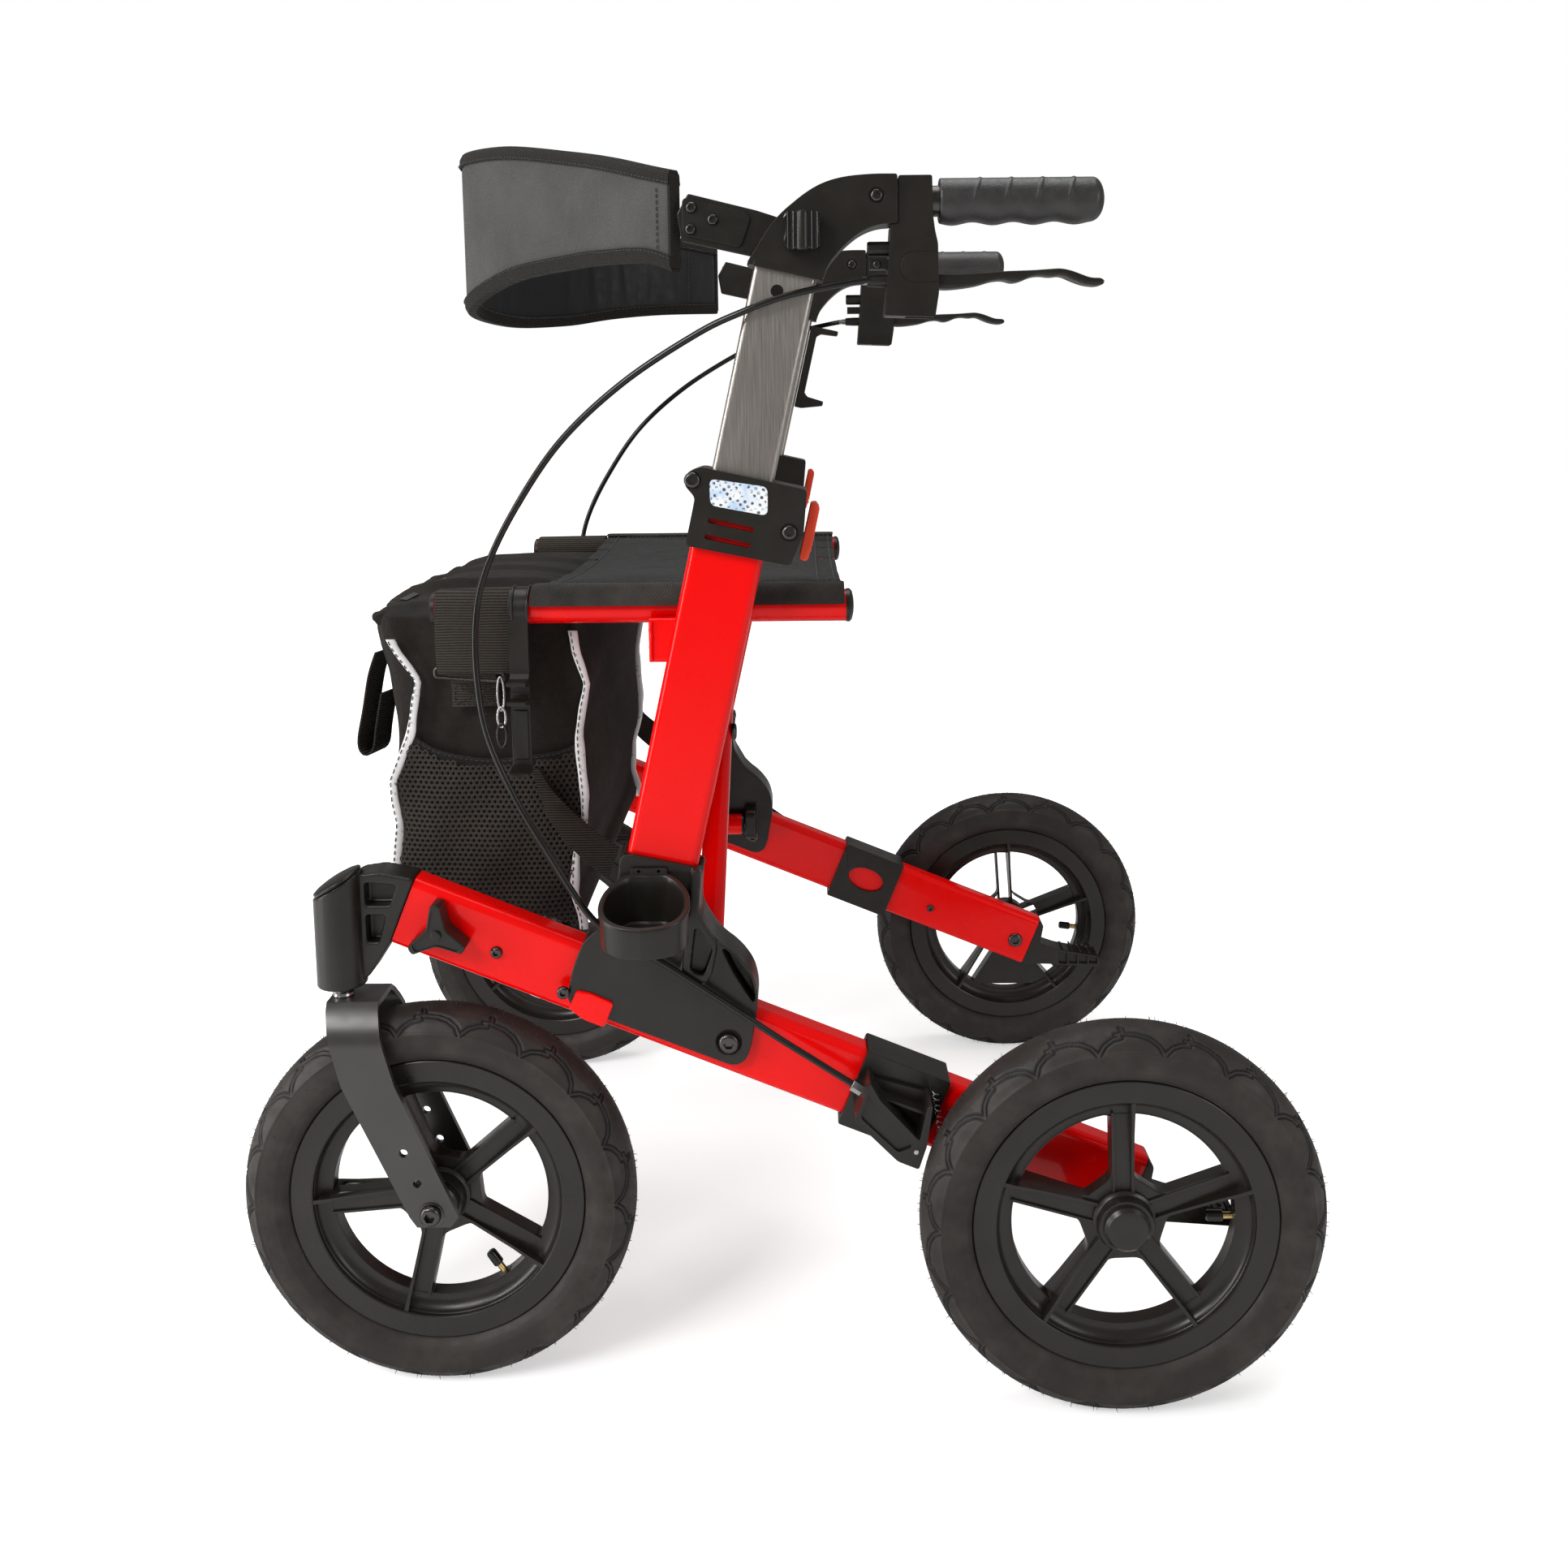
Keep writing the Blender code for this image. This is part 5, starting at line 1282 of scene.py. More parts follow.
def handle_arm(side, tag):
    """The cast quarter bend from the post to the grip, with its bolts."""
    outer = [(*upright_at(0.0278, 0.4470), 0.002), (0.0110, 0.8655, 0.01), (0.0040, 0.8759, 0.02),
             (-0.0023, 0.8860, 0.02), (-0.0118, 0.8970, 0.02), (-0.0294, 0.9109, 0.02),
             (-0.0419, 0.9178, 0.02), (-0.0564, 0.9217, 0.02), (-0.0769, 0.9235, 0.02),
             (-0.0951, 0.9233, 0.002), (-0.0954, 0.8890, 0.002), (-0.0810, 0.8883, 0.02),
             (-0.0686, 0.8833, 0.02), (-0.0561, 0.8733, 0.02), (-0.0450, 0.8600, 0.02),
             (*upright_at(-0.0278, 0.4470), 0.003)]
    body = panel(outer, 0.02, 0.2340, 0.2660)
    tube_in = lathe((-0.0850, FRAME_Y, GRIP_Z), (-1, 0, 0), ((0, TUBE_R), (0.155, TUBE_R)), 32)
    recess = lathe((-0.0802, 0.2650, 0.9084), sideways, ((0, 0.0056), (0.01, 0.0056)), 32)
    recess_in = lathe((-0.0802, 0.2350, 0.9084), -sideways, ((0, 0.0056), (0.01, 0.0056)), 32)
    collar = bar(on_plane(upright_at(0, 0.4466)), on_plane(upright_at(0, 0.4500)),
                 rounded(0.0560, 0.0325, 0.006), ahead, sideways)
    hard_piece(f"handle_bend_{tag}", [(body, finishes["plastic"])], f"handle_{tag}", side, edge=0.0026,
               angle=50, segments=4, cuts=[recess, recess_in], replaces=[f"handle_arm_{tag}"])
    hard_piece(f"handle_tube_{tag}", [(tube_in, finishes["bolt"]), (collar, finishes["plastic"])],
               f"handle_{tag}", side)
    heads = [((-0.0802, 0.2645, 0.9084), (0, 1, 0), 0.0046), ((-0.0802, 0.2355, 0.9084), (0, -1, 0), 0.0046)]
    heads += [((x, 0.2500, z), (0, 1, 0), 0.0040)
              for x, z in ((0.0534, 0.9031), (0.0379, 0.8943), (0.0541, 0.8877))]
    bolts(f"handle_bolts_{tag}", heads, f"handle_{tag}", side)


def grip(side, tag):
    """The hand grip: leathery rubber, four finger swells below and four curved ridges on its flank."""
    rear, front = GRIP_SPAN
    steps, around = 150, 72
    rings = []
    for k in range(steps + 1):
        t = k / steps
        x = front + (rear - front) * t
        end = max(0.0, (t - 0.93) / 0.07)
        size = math.sqrt(max(0.0, 1 - end**2 * 0.86)) * (0.97 if k == 0 else 1.0)
        ring = []
        for i in range(around):
            a = 2 * math.pi * i / around
            below = max(0.0, -math.sin(a))
            radius = GRIP_R + 0.0011 * below * math.cos(2 * math.pi * 4 * (t - 0.08))
            for n in range(4):
                middle = 0.22 + 0.19 * n + 0.035 * math.sin(a - 0.5)
                high = max(0.0, math.sin(a + 0.35)) if math.cos(a) > -0.5 else 0.0
                radius += 0.0007 * math.exp(-(((t - middle) / 0.010) ** 2)) * min(1.0, 1.6 * high)
            ring.append((x, FRAME_Y + radius * size * math.cos(a), GRIP_Z + radius * size * math.sin(a)))
        rings.append(ring)
    mouth = [(front, FRAME_Y + u, GRIP_Z + v) for u, v in circle(TUBE_R + 0.0003, around)]
    hard_piece(f"grip_skin_{tag}", [(loft([mouth] + rings), finishes["grip"])], f"handle_{tag}", side,
               angle=50, replaces=[f"grip_{tag}"])


def brake_housing(side, tag):
    """The brake's housing under the grip, with its oval lever boss, two barrels and a screw block."""
    outline = [(-0.0958, 0.9225), (-0.1200, 0.9225), (-0.1207, 0.8950), (-0.1222, 0.8840), (-0.1244, 0.8746),
               (-0.1252, 0.8400), (-0.1226, 0.8226), (-0.0861, 0.8240), (-0.0890, 0.8620), (-0.0905, 0.8886),
               (-0.0958, 0.8890)]
    body = panel(outline, 0.0018, 0.2360, 0.2640)
    slot_cut = plate([(-0.1400, 0.8640), (-0.1400, 0.8100), (-0.1020, 0.8100), (-0.1020, 0.8640)], 0.2404,
                     0.2596)
    line = arc((-0.1080, 0.8585), 0.0114, 90, -90, 15) + [(-0.1300, 0.8471), (-0.1300, 0.8480)]
    line += arc((-0.1080, 0.8585), 0.0105, -90, 90, 15) + [(-0.1300, 0.8690), (-0.1300, 0.8699)]
    groove = plate(line, 0.2634, 0.2660)
    hard_piece(f"brake_case_{tag}", [(body, finishes["plastic"])], f"handle_{tag}", side, edge=0.0005,
               cuts=[slot_cut, groove], replaces=[f"brake_housing_{tag}"])
    barrels = [lathe((-0.0880, 0.2520, 0.8722), (1, 0, 0),
                     ((-0.002, 0.0053), (0.0128, 0.0053), (0.0140, 0.0046)), 24),
               lathe((-0.0880, 0.2560, 0.8490), (1, 0, 0),
                     ((-0.002, 0.0045), (0.0060, 0.0045), (0.0140, 0.0040), (0.0146, 0.0034)), 24),
               bar((-0.0900, 0.2530, 0.8608), (-0.0755, 0.2530, 0.8608), rounded(0.0090, 0.0072, 0.0008, 3),
                   sideways, Vector((0, 0, 1)))]
    screw = socket_bolt((-0.0808, 0.2575, 0.8608), sideways, 0.0029, 0.0012)
    ferrule = lathe((-0.0745, 0.2570, 0.8490), (1, 0.12, 0),
                    ((0, 0.0030), (0.0040, 0.0030), (0.0044, 0.0024), (0.0075, 0.0024)), 18)
    parts = [(shape, finishes["plastic"]) for shape in barrels] + [(screw, finishes["bolt"]),
                                                                   (ferrule, finishes["bright"])]
    hard_piece(f"brake_barrels_{tag}", parts, f"handle_{tag}", side)


def brake_lever(side, tag):
    px, pz = LEVER_PIVOT
    blade = arc((px, pz), 0.0060, 75, -75, 6) + arc((px, pz), 0.0060, 260, 225, 3)
    blade += [(-0.1282, 0.8425), (-0.1400, 0.8432), (-0.1536, 0.8451), (-0.1640, 0.8484), (-0.1725, 0.8490),
              (-0.1790, 0.8468), (-0.1852, 0.8479), (-0.1925, 0.8512), (-0.1996, 0.8520), (-0.2070, 0.8508),
              (-0.2144, 0.8520), (-0.2230, 0.8480), (-0.2316, 0.8449), (-0.2400, 0.8440), (-0.2445, 0.8450),
              (-0.2458, 0.8478), (-0.2430, 0.8498), (-0.2357, 0.8500), (-0.2300, 0.8520), (-0.2230, 0.8548),
              (-0.2143, 0.8570), (-0.1937, 0.8557), (-0.1746, 0.8553), (-0.1406, 0.8535), (-0.1267, 0.8537)]
    body = rounded_slab(blade, 0.006, 0.2414, 0.2586, 0.0020)
    hard_piece(f"lever_{tag}", [(body, finishes["plastic"])], f"brake_lever_{tag}", side, angle=40,
               replaces=[f"brake_lever_{tag}"])


def backrest_mount(side, tag):
    """The backrest's bracket with its screwed plate, and the fluted knob that holds it."""
    outline = [(0.0557, 0.9134), (0.0060, 0.9010), (-0.0100, 0.8958), (-0.0015, 0.8862), (0.0046, 0.8765),
               (0.0102, 0.8684), (0.0610, 0.8798), (0.0641, 0.8987)]
    strip = rounded_slab(outline, 0.0015, 0.2430, 0.2488, 0.0010)
    cover = rounded_slab([(0.0600, 0.9110), (0.0140, 0.9000), (0.0100, 0.8960), (0.0175, 0.8740),
                          (0.0600, 0.8835)], 0.005,
                         0.2485, 0.2504, 0.0008)
    parts = [(strip, finishes["plastic"]), (cover, finishes["plastic"])]
    hard_piece(f"bracket_{tag}", parts, f"handle_{tag}", side, replaces=[f"backrest_bracket_{tag}"])
    cx, cz = -0.0270, 0.8830
    outline = []
    for k in range(4):
        for r, d in ((0.0163, -13), (0.0168, 0), (0.0163, 13), (0.0118, 45)):
            a = math.radians(45 + 90 * k + d)
            outline.append((cx + r * math.cos(a), cz + r * math.sin(a)))
    body = rounded_slab(outline, 0.004, 0.2668, 0.2812, 0.0012)
    spine = tube([Vector((cx, 0.2780, cz + z)) for z in (-0.0135, -0.0120, 0.0, 0.0120, 0.0135)], 0.0050, 20,
                 lambda k: 0.8 if k in (0, 4) else 1.0)
    flutes = [tube([Vector((cx + x, 0.2835, cz - 0.02)), Vector((cx + x, 0.2835, cz + 0.02))], 0.0036, 20)
              for x in (-0.0085, 0.0085)]
    shaft = lathe((cx, 0.2655, cz), sideways, ((0, 0.0065), (0.0030, 0.0065)), 24)
    hard_piece(f"back_knob_{tag}", [(body, finishes["sheath"])], f"backrest_knob_{tag}", side, cuts=flutes,
               replaces=[f"backrest_knob_{tag}"])
    hard_piece(f"back_knob_core_{tag}", [(spine, finishes["plastic"]), (shaft, finishes["bolt"])],
               f"backrest_knob_{tag}", side)


# ---------------------------------------------------------------- fold

def cross_brace():
    """Two crossed tubes, each carrying a seat tube with plugged ends, a foot tube and a gusset."""
    red = finishes["red"]
    middle_z = BRACE_FOOT_Z + BRACE_FOOT_Y * (SEAT_TUBE_Z - BRACE_FOOT_Z) / (BRACE_FOOT_Y + SEAT_TUBE_Y)
    for tag, side, x in (("a", 1, BRACE_X[0]), ("b", -1, BRACE_X[1])):
        foot, top = Vector((x, BRACE_FOOT_Y * side, BRACE_FOOT_Z)), Vector((x, -SEAT_TUBE_Y * side,
                                                                            SEAT_TUBE_Z))
        way = top - foot
        shapes = [lathe(foot, way, ((0, BRACE_R), (way.length, BRACE_R)), 32),
                  lathe((SEAT_TUBE_SPAN[0], top.y, top.z), (1, 0, 0),
                        ((0, SEAT_TUBE_R), (SEAT_TUBE_SPAN[1] - SEAT_TUBE_SPAN[0], SEAT_TUBE_R)), 40),
                  lathe((0.0460, foot.y, foot.z), (1, 0, 0), ((0, 0.0114), (0.0440, 0.0114)), 32)]
        beads = []
        for place in (foot, top):
            first, second = frame_of(way)
            ring = [place + way.normalized() * (0.0105 if place is foot else -0.0118) + first * u + second * v
                    for u, v in circle(BRACE_R + 0.0006, 30)]
            beads.append(tube(ring + ring[:2], 0.0014, 8, lambda k: 1.0 + 0.2 * (k % 2)))
        parts = [(shape, red) for shape in shapes + beads]
        hard_piece(f"brace_tube_{tag}", parts, f"brace_{tag}", replaces=[f"brace_{tag}"])
        plugs = [lathe((SEAT_TUBE_SPAN[0], top.y, top.z), (-1, 0, 0),
                       ((-0.0005, 0.0131), (0.0022, 0.0131), (0.0040, 0.0112), (0.0052, 0.0060),
                        (0.0055, 0.0020)), 32),
                 lathe((SEAT_TUBE_SPAN[1], top.y, top.z), (1, 0, 0),
                       ((-0.0005, 0.0131), (0.0020, 0.0131), (0.0034, 0.0112), (0.0042, 0.0040)), 32),
                 lathe((0.0460, foot.y, foot.z), (-1, 0, 0),
                       ((0, 0.0108), (0.0020, 0.0104), (0.0030, 0.0080)), 24),
                 lathe((0.0900, foot.y, foot.z), (1, 0, 0), ((0, 0.0108), (0.0006, 0.0108)), 24)]
        hard_piece(f"brace_plugs_{tag}", [(shape, finishes["plastic"]) for shape in plugs], f"brace_{tag}")
        pin = lathe((0.0325, foot.y, foot.z), (1, 0, 0), ((0, 0.0048), (0.0690, 0.0048)), 20)
        hard_piece(f"brace_pin_{tag}", [(pin, finishes["bolt"])], f"brace_{tag}")
    head = socket_bolt((0.0428, 0.0, middle_z), (-1, 0, 0), 0.0082, 0.0040)
    shank = lathe((0.0400, 0.0, middle_z), (1, 0, 0), ((0, 0.0040), (0.0530, 0.0040)), 20)
    nut = lathe((0.0896, 0.0, middle_z), (1, 0, 0), ((0, 0.0070), (0.0040, 0.0070), (0.0048, 0.0058)), 6)
    hard_piece("brace_centre_bolt", [(shape, finishes["bolt"]) for shape in (head, shank, nut)], "brace_a",
               replaces=["brace_bolt"])


def clips():
    """The cane clips: a ribbed clip hung on the left seat tube, and a grooved one on the right post."""
    y, z = SEAT_TUBE_Y, SEAT_TUBE_Z
    hook = arc((y, z), 0.0132, 200, -60, 24)
    outer = arc((y, z), 0.0165, 200, -20, 20)
    tail = [(0.2262, 0.596), (0.2262, 0.556), (0.2300, 0.5525), (0.2420, 0.552), (0.2420, 0.5490),
            (0.2290, 0.5490), (0.2262, 0.546), (0.2262, 0.5400), (0.2290, 0.5370), (0.2420, 0.5370),
            (0.2420, 0.5340), (0.2290, 0.5340), (0.2262, 0.531), (0.2262, 0.4840), (0.2420, 0.4810),
            (0.2420, 0.4780), (0.2232, 0.4780), (0.2232, 0.596)]
    outline = outer + tail + hook[::-1][2:]
    parts = [(loft([[(x, u, v) for u, v in outline] for x in (0.1870, 0.2020)]), finishes["plastic"])]
    for x in (0.1872, 0.1992):
        ring = [(x, u, v) for u, v in arc((y, z), 0.0166, 190, -30, 24)]
        parts.append((tube(ring, 0.0013, 8), finishes["plastic"]))
    panel = loft([[(x, 0.2262, zz), (x, 0.2276, zz + 0.001), (x, 0.2276, zz + span - 0.001),
                   (x, 0.2262, zz + span)]
                  for zz, span in ((0.488, 0.040),) for x in (0.1890, 0.2000)])
    parts.append((panel, finishes["plastic"]))
    hard_piece("tube_clip", parts, "seat_sling", edge=0.0007, replaces=["cane_clip_left"])
    rear = -POST_D / 2 - 0.0004
    shape = [(rear, 0.352), (rear, 0.441), (rear - 0.030, 0.441), (rear - 0.030, 0.436),
             (rear - 0.012, 0.4345), (rear - 0.008, 0.431), (rear - 0.008, 0.369), (rear - 0.012, 0.3655),
             (rear - 0.030, 0.364), (rear - 0.030, 0.359), (rear - 0.008, 0.352)]
    body = plate(softened([upright_at(*p) for p in shape], 0.0015, 4), -0.2580, -0.2420)
    lines = [tube([on_plane(upright_at(rear - 0.0045, t), level) for t in (0.356, 0.437)], 0.0009, 6)
             for level in (-0.2422, -0.2578)]
    hard_piece("post_clip", [(body, finishes["plastic"])] + [(line, finishes["plastic"]) for line in lines],
               "handle_right", edge=0.0006, replaces=["cane_clip_right"])


# ---------------------------------------------------------------- soft goods

def voxelled(obj, size):
    remesh = obj.modifiers.new("skin", "REMESH")
    remesh.mode, remesh.voxel_size = "VOXEL", size
    bake(obj)


CLOTH_FRAMES = 20
CLOTH_MASS, CLOTH_STRETCH, CLOTH_SHEAR, CLOTH_BEND = 0.25, 14.0, 6.0, 0.6


def puffed(obj, held, reach, pressure=4.0):
    """Blows a closed soft piece up as cloth. Held parts stay, and nothing moves further than its reach."""
    rest = [v.co.copy() for v in obj.data.vertices]
    group = obj.vertex_groups.new(name="held")
    for k, p in enumerate(rest):
        weight = held(p)
        if weight > 0.01:
            group.add([k], min(weight, 1.0), "REPLACE")
    cloth = obj.modifiers.new("cloth", "CLOTH")
    settings = cloth.settings
    settings.quality, settings.mass = 6, CLOTH_MASS
    settings.tension_stiffness = settings.compression_stiffness = CLOTH_STRETCH
    settings.shear_stiffness, settings.bending_stiffness = CLOTH_SHEAR, CLOTH_BEND
    settings.use_pressure, settings.uniform_pressure_force = True, pressure
    settings.vertex_group_mass = "held"
    settings.effector_weights.gravity = 0.0
    cloth.point_cache.frame_start, cloth.point_cache.frame_end = 1, CLOTH_FRAMES
    scene = bpy.context.scene
    for number in range(1, CLOTH_FRAMES + 1):
        scene.frame_set(number)
    shape = obj.evaluated_get(bpy.context.evaluated_depsgraph_get()).to_mesh()
    moved = [v.co.copy() for v in shape.vertices]
    obj.modifiers.remove(cloth)
    scene.frame_set(1)
    for vertex, start, end in zip(obj.data.vertices, rest, moved):
        step = end - start
        vertex.co = start + step * min(1.0, reach / max(step.length, 1e-6))


def subdivided(obj, levels=1):
    step = obj.modifiers.new("smooth", "SUBSURF")
    step.levels = step.render_levels = levels
    bake(obj)
    obj.data.shade_smooth()


def strip(path, widths, normals, thickness):
    """A flat strap: a strip along a path of points, with the sideways and outward directions at each."""
    rings = []
    for p, across, out in zip(path, widths, normals):
        half, lift = Vector(across) * 0.5, Vector(out).normalized() * thickness / 2
        p = Vector(p)
        rings.append([p - half - lift * 0.6, p - half * 0.97 - lift, p + half * 0.97 - lift,
                      p + half - lift * 0.6, p + half + lift * 0.6, p + half * 0.97 + lift,
                      p - half * 0.97 + lift, p - half + lift * 0.6])
    return loft(rings)


def stitches(path, out, length=0.0026, gap=0.0014, radius=0.00045):
    """A row of thread stitches along a path, lying on the cloth whose outward direction is out."""
    line = curve_through([Vector(p) for p in path], 0.0005)
    shapes, travelled, start = [], 0.0, line[0]
    lift = Vector(out).normalized() * radius * 0.5
    for before, here in zip(line, line[1:]):
        travelled += (here - before).length
        if start is not None and travelled >= length:
            middle = (start + here) / 2
            shapes.append(tube([start - lift, middle + lift * 2, here - lift], radius, 5))
            start, travelled = None, 0.0
        elif start is None and travelled >= gap:
            start, travelled = here, 0.0
    return merged(*shapes)


def soft_piece(name, parts, body, angle=50, squash=None):
    obj = mesh_object(name, parts)
    tidy(obj)
    smooth_by_angle(obj, angle)
    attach(obj, body)
    if squash:
        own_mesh(obj)
    return obj


def finish_soft(obj, mat, body, replaces=(), squash=None):
    obj.data.materials.clear()
    obj.data.materials.append(mat)
    obj.data.shade_smooth()
    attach(obj, body)
    if replaces:
        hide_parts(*replaces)
    if squash:
        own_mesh(obj)


def seat_level(y):
    """The middle height of the seat's cloth: it sags between the tubes and wraps down outside them."""
    edge = SEAT_TUBE_Y - 0.004
    if abs(y) > edge:
        reach = min((abs(y) - edge) / 0.0190, 1.0)
        return SEAT_TUBE_Z + SEAT_TUBE_R + SEAT_LIFT - SEAT_SAG * reach * reach
    return SEAT_TUBE_Z + SEAT_TUBE_R + SEAT_LIFT - SEAT_SAG * (1 - (y / edge) ** 2)


def seat():
    """The padded seat: a quilted panel between stitched hems that wrap round the seat tubes."""
    rear, front = -0.0572, 0.1851
    seam_x, seam_y = (rear + 0.020, front - 0.014), 0.172
    ends = [-0.2255 + 0.451 * k / 110 for k in range(111)]
    rows = [rear + (front - rear) * k / 56 for k in range(57)]

    def depth(x, y):
        inside = min(x - seam_x[0], seam_x[1] - x, seam_y - abs(y), 0.0)
        ridge = min(abs(x - seam_x[0]), abs(x - seam_x[1])) if abs(y) < seam_y else 1.0
        ridge = min(ridge, abs(abs(y) - seam_y) if seam_x[0] < x < seam_x[1] else 1.0)
        pad = 0.0 if inside < 0 else min(1.0, ridge / 0.012) ** 0.5
        return 0.0014 + 0.0026 * pad

    def surface(sign):
        return [[(x, y, seat_level(y) + sign * depth(x, y)) for y in ends] for x in rows]

    top, under = surface(1), surface(-1)
    rings = [high + low[::-1] for high, low in zip(top, under)]
    obj = mesh_object("seat_pad", [(loft(rings), finishes["seat"])])
    tidy(obj)
    voxelled(obj, 0.0028)

    def held(p):
        ridge = min(abs(p.x - seam_x[0]), abs(p.x - seam_x[1]), abs(abs(p.y) - seam_y))
        outside = p.x < seam_x[0] or p.x > seam_x[1] or abs(p.y) > seam_y
        return 1.0 if outside or ridge < 0.003 else 0.0

    puffed(obj, held, 0.005, 3.0)
    chance = random.Random(11)
    creases = [(chance.uniform(rear, front), chance.uniform(-0.2, 0.2), chance.uniform(0, math.pi))
               for _ in range(16)]
    for v in obj.data.vertices:
        for x, y, a in creases:
            off = (v.co.x - x) * math.sin(a) - (v.co.y - y) * math.cos(a)
            on = (v.co.x - x) * math.cos(a) + (v.co.y - y) * math.sin(a)
            v.co.z += 0.0006 * math.exp(-((off / 0.006) ** 2) - (on / 0.05) ** 2)
    subdivided(obj)
    finish_soft(obj, finishes["seat"], "seat_sling", ["seat"], SLING)
    lift = 0.0021
    lines = []
    for x in (*seam_x, rear + 0.006):
        lines.append([(x, y, seat_level(y) + lift) for y in [-0.19 + 0.38 * k / 30 for k in range(31)]])
    for y in (seam_y, -seam_y, SEAT_TUBE_Y - 0.020, 0.020 - SEAT_TUBE_Y):
        lines.append([(x, y, seat_level(y) + lift) for x in rows[1:-1:5]])
    thread = merged(*[stitches(line, (0, 0, 1)) for line in lines])
    soft_piece("seat_stitching", [(thread, finishes["thread"])], "seat_sling", squash=SLING)
    for side, tag in SIDES:
        hem = []
        for k in range(9):
            a = math.radians(10 + 80 * k / 8)
            r = SEAT_TUBE_R + 0.0050
            hem.append((SEAT_TUBE_Y + r * math.cos(a), SEAT_TUBE_Z + r * math.sin(a),
                        Vector((0, math.cos(a), math.sin(a)))))
        hem.append((SEAT_TUBE_Y - 0.014, SEAT_TUBE_Z + SEAT_TUBE_R + 0.0042, Vector((0, 0, 1))))
        middle = (rear + front) / 2
        shape = strip([(middle, y, z) for y, z, _ in hem], [(front - rear, 0, 0)] * len(hem),
                      [n for _, _, n in hem], 0.0012)
        soft_piece(f"seat_hem_{tag}", [(swap(shape, side), finishes["hem"])], "seat_sling", squash=SLING)


def band_stations():
    """The backrest band's middle line and edge heights, from the left end to the right end."""
    points = [(0.2440, 0.0660, 0.859, 0.930), (0.2250, 0.0870, 0.867, 0.937), (0.1900, 0.1190, 0.870, 0.949),
              (0.1500, 0.1530, 0.871, 0.960), (0.0800, 0.2200, 0.866, 0.977), (0.0000, 0.2740, 0.847, 0.983),
              (-0.0800, 0.2560, 0.838, 0.978), (-0.1500, 0.2160, 0.842, 0.962),
              (-0.1950, 0.1740, 0.851, 0.950), (-0.2250, 0.1250, 0.857, 0.940),
              (-0.2440, 0.0660, 0.859, 0.930)]
    stations = []
    for k in range(len(points) - 1):
        four = [points[min(max(k + n, 0), len(points) - 1)] for n in (-1, 0, 1, 2)]
        for step in range(9):
            t = step / 9
            weights = (-t**3 + 2 * t * t - t, 3 * t**3 - 5 * t * t + 2, -3 * t**3 + 4 * t * t + t,
                       t**3 - t * t)
            stations.append(tuple(sum(w * p[i] for w, p in zip(weights, four)) / 2 for i in range(4)))
    stations.append(points[-1])
    result = []
    for k, (y, x, low, high) in enumerate(stations):
        before, after = stations[max(k - 1, 0)], stations[min(k + 1, len(stations) - 1)]
        way = Vector((after[1] - before[1], after[0] - before[0], 0.0)).normalized()
        result.append((Vector((x, y, 0.0)), way, Vector((-way.y, way.x, 0.0)), low, high))
    return result


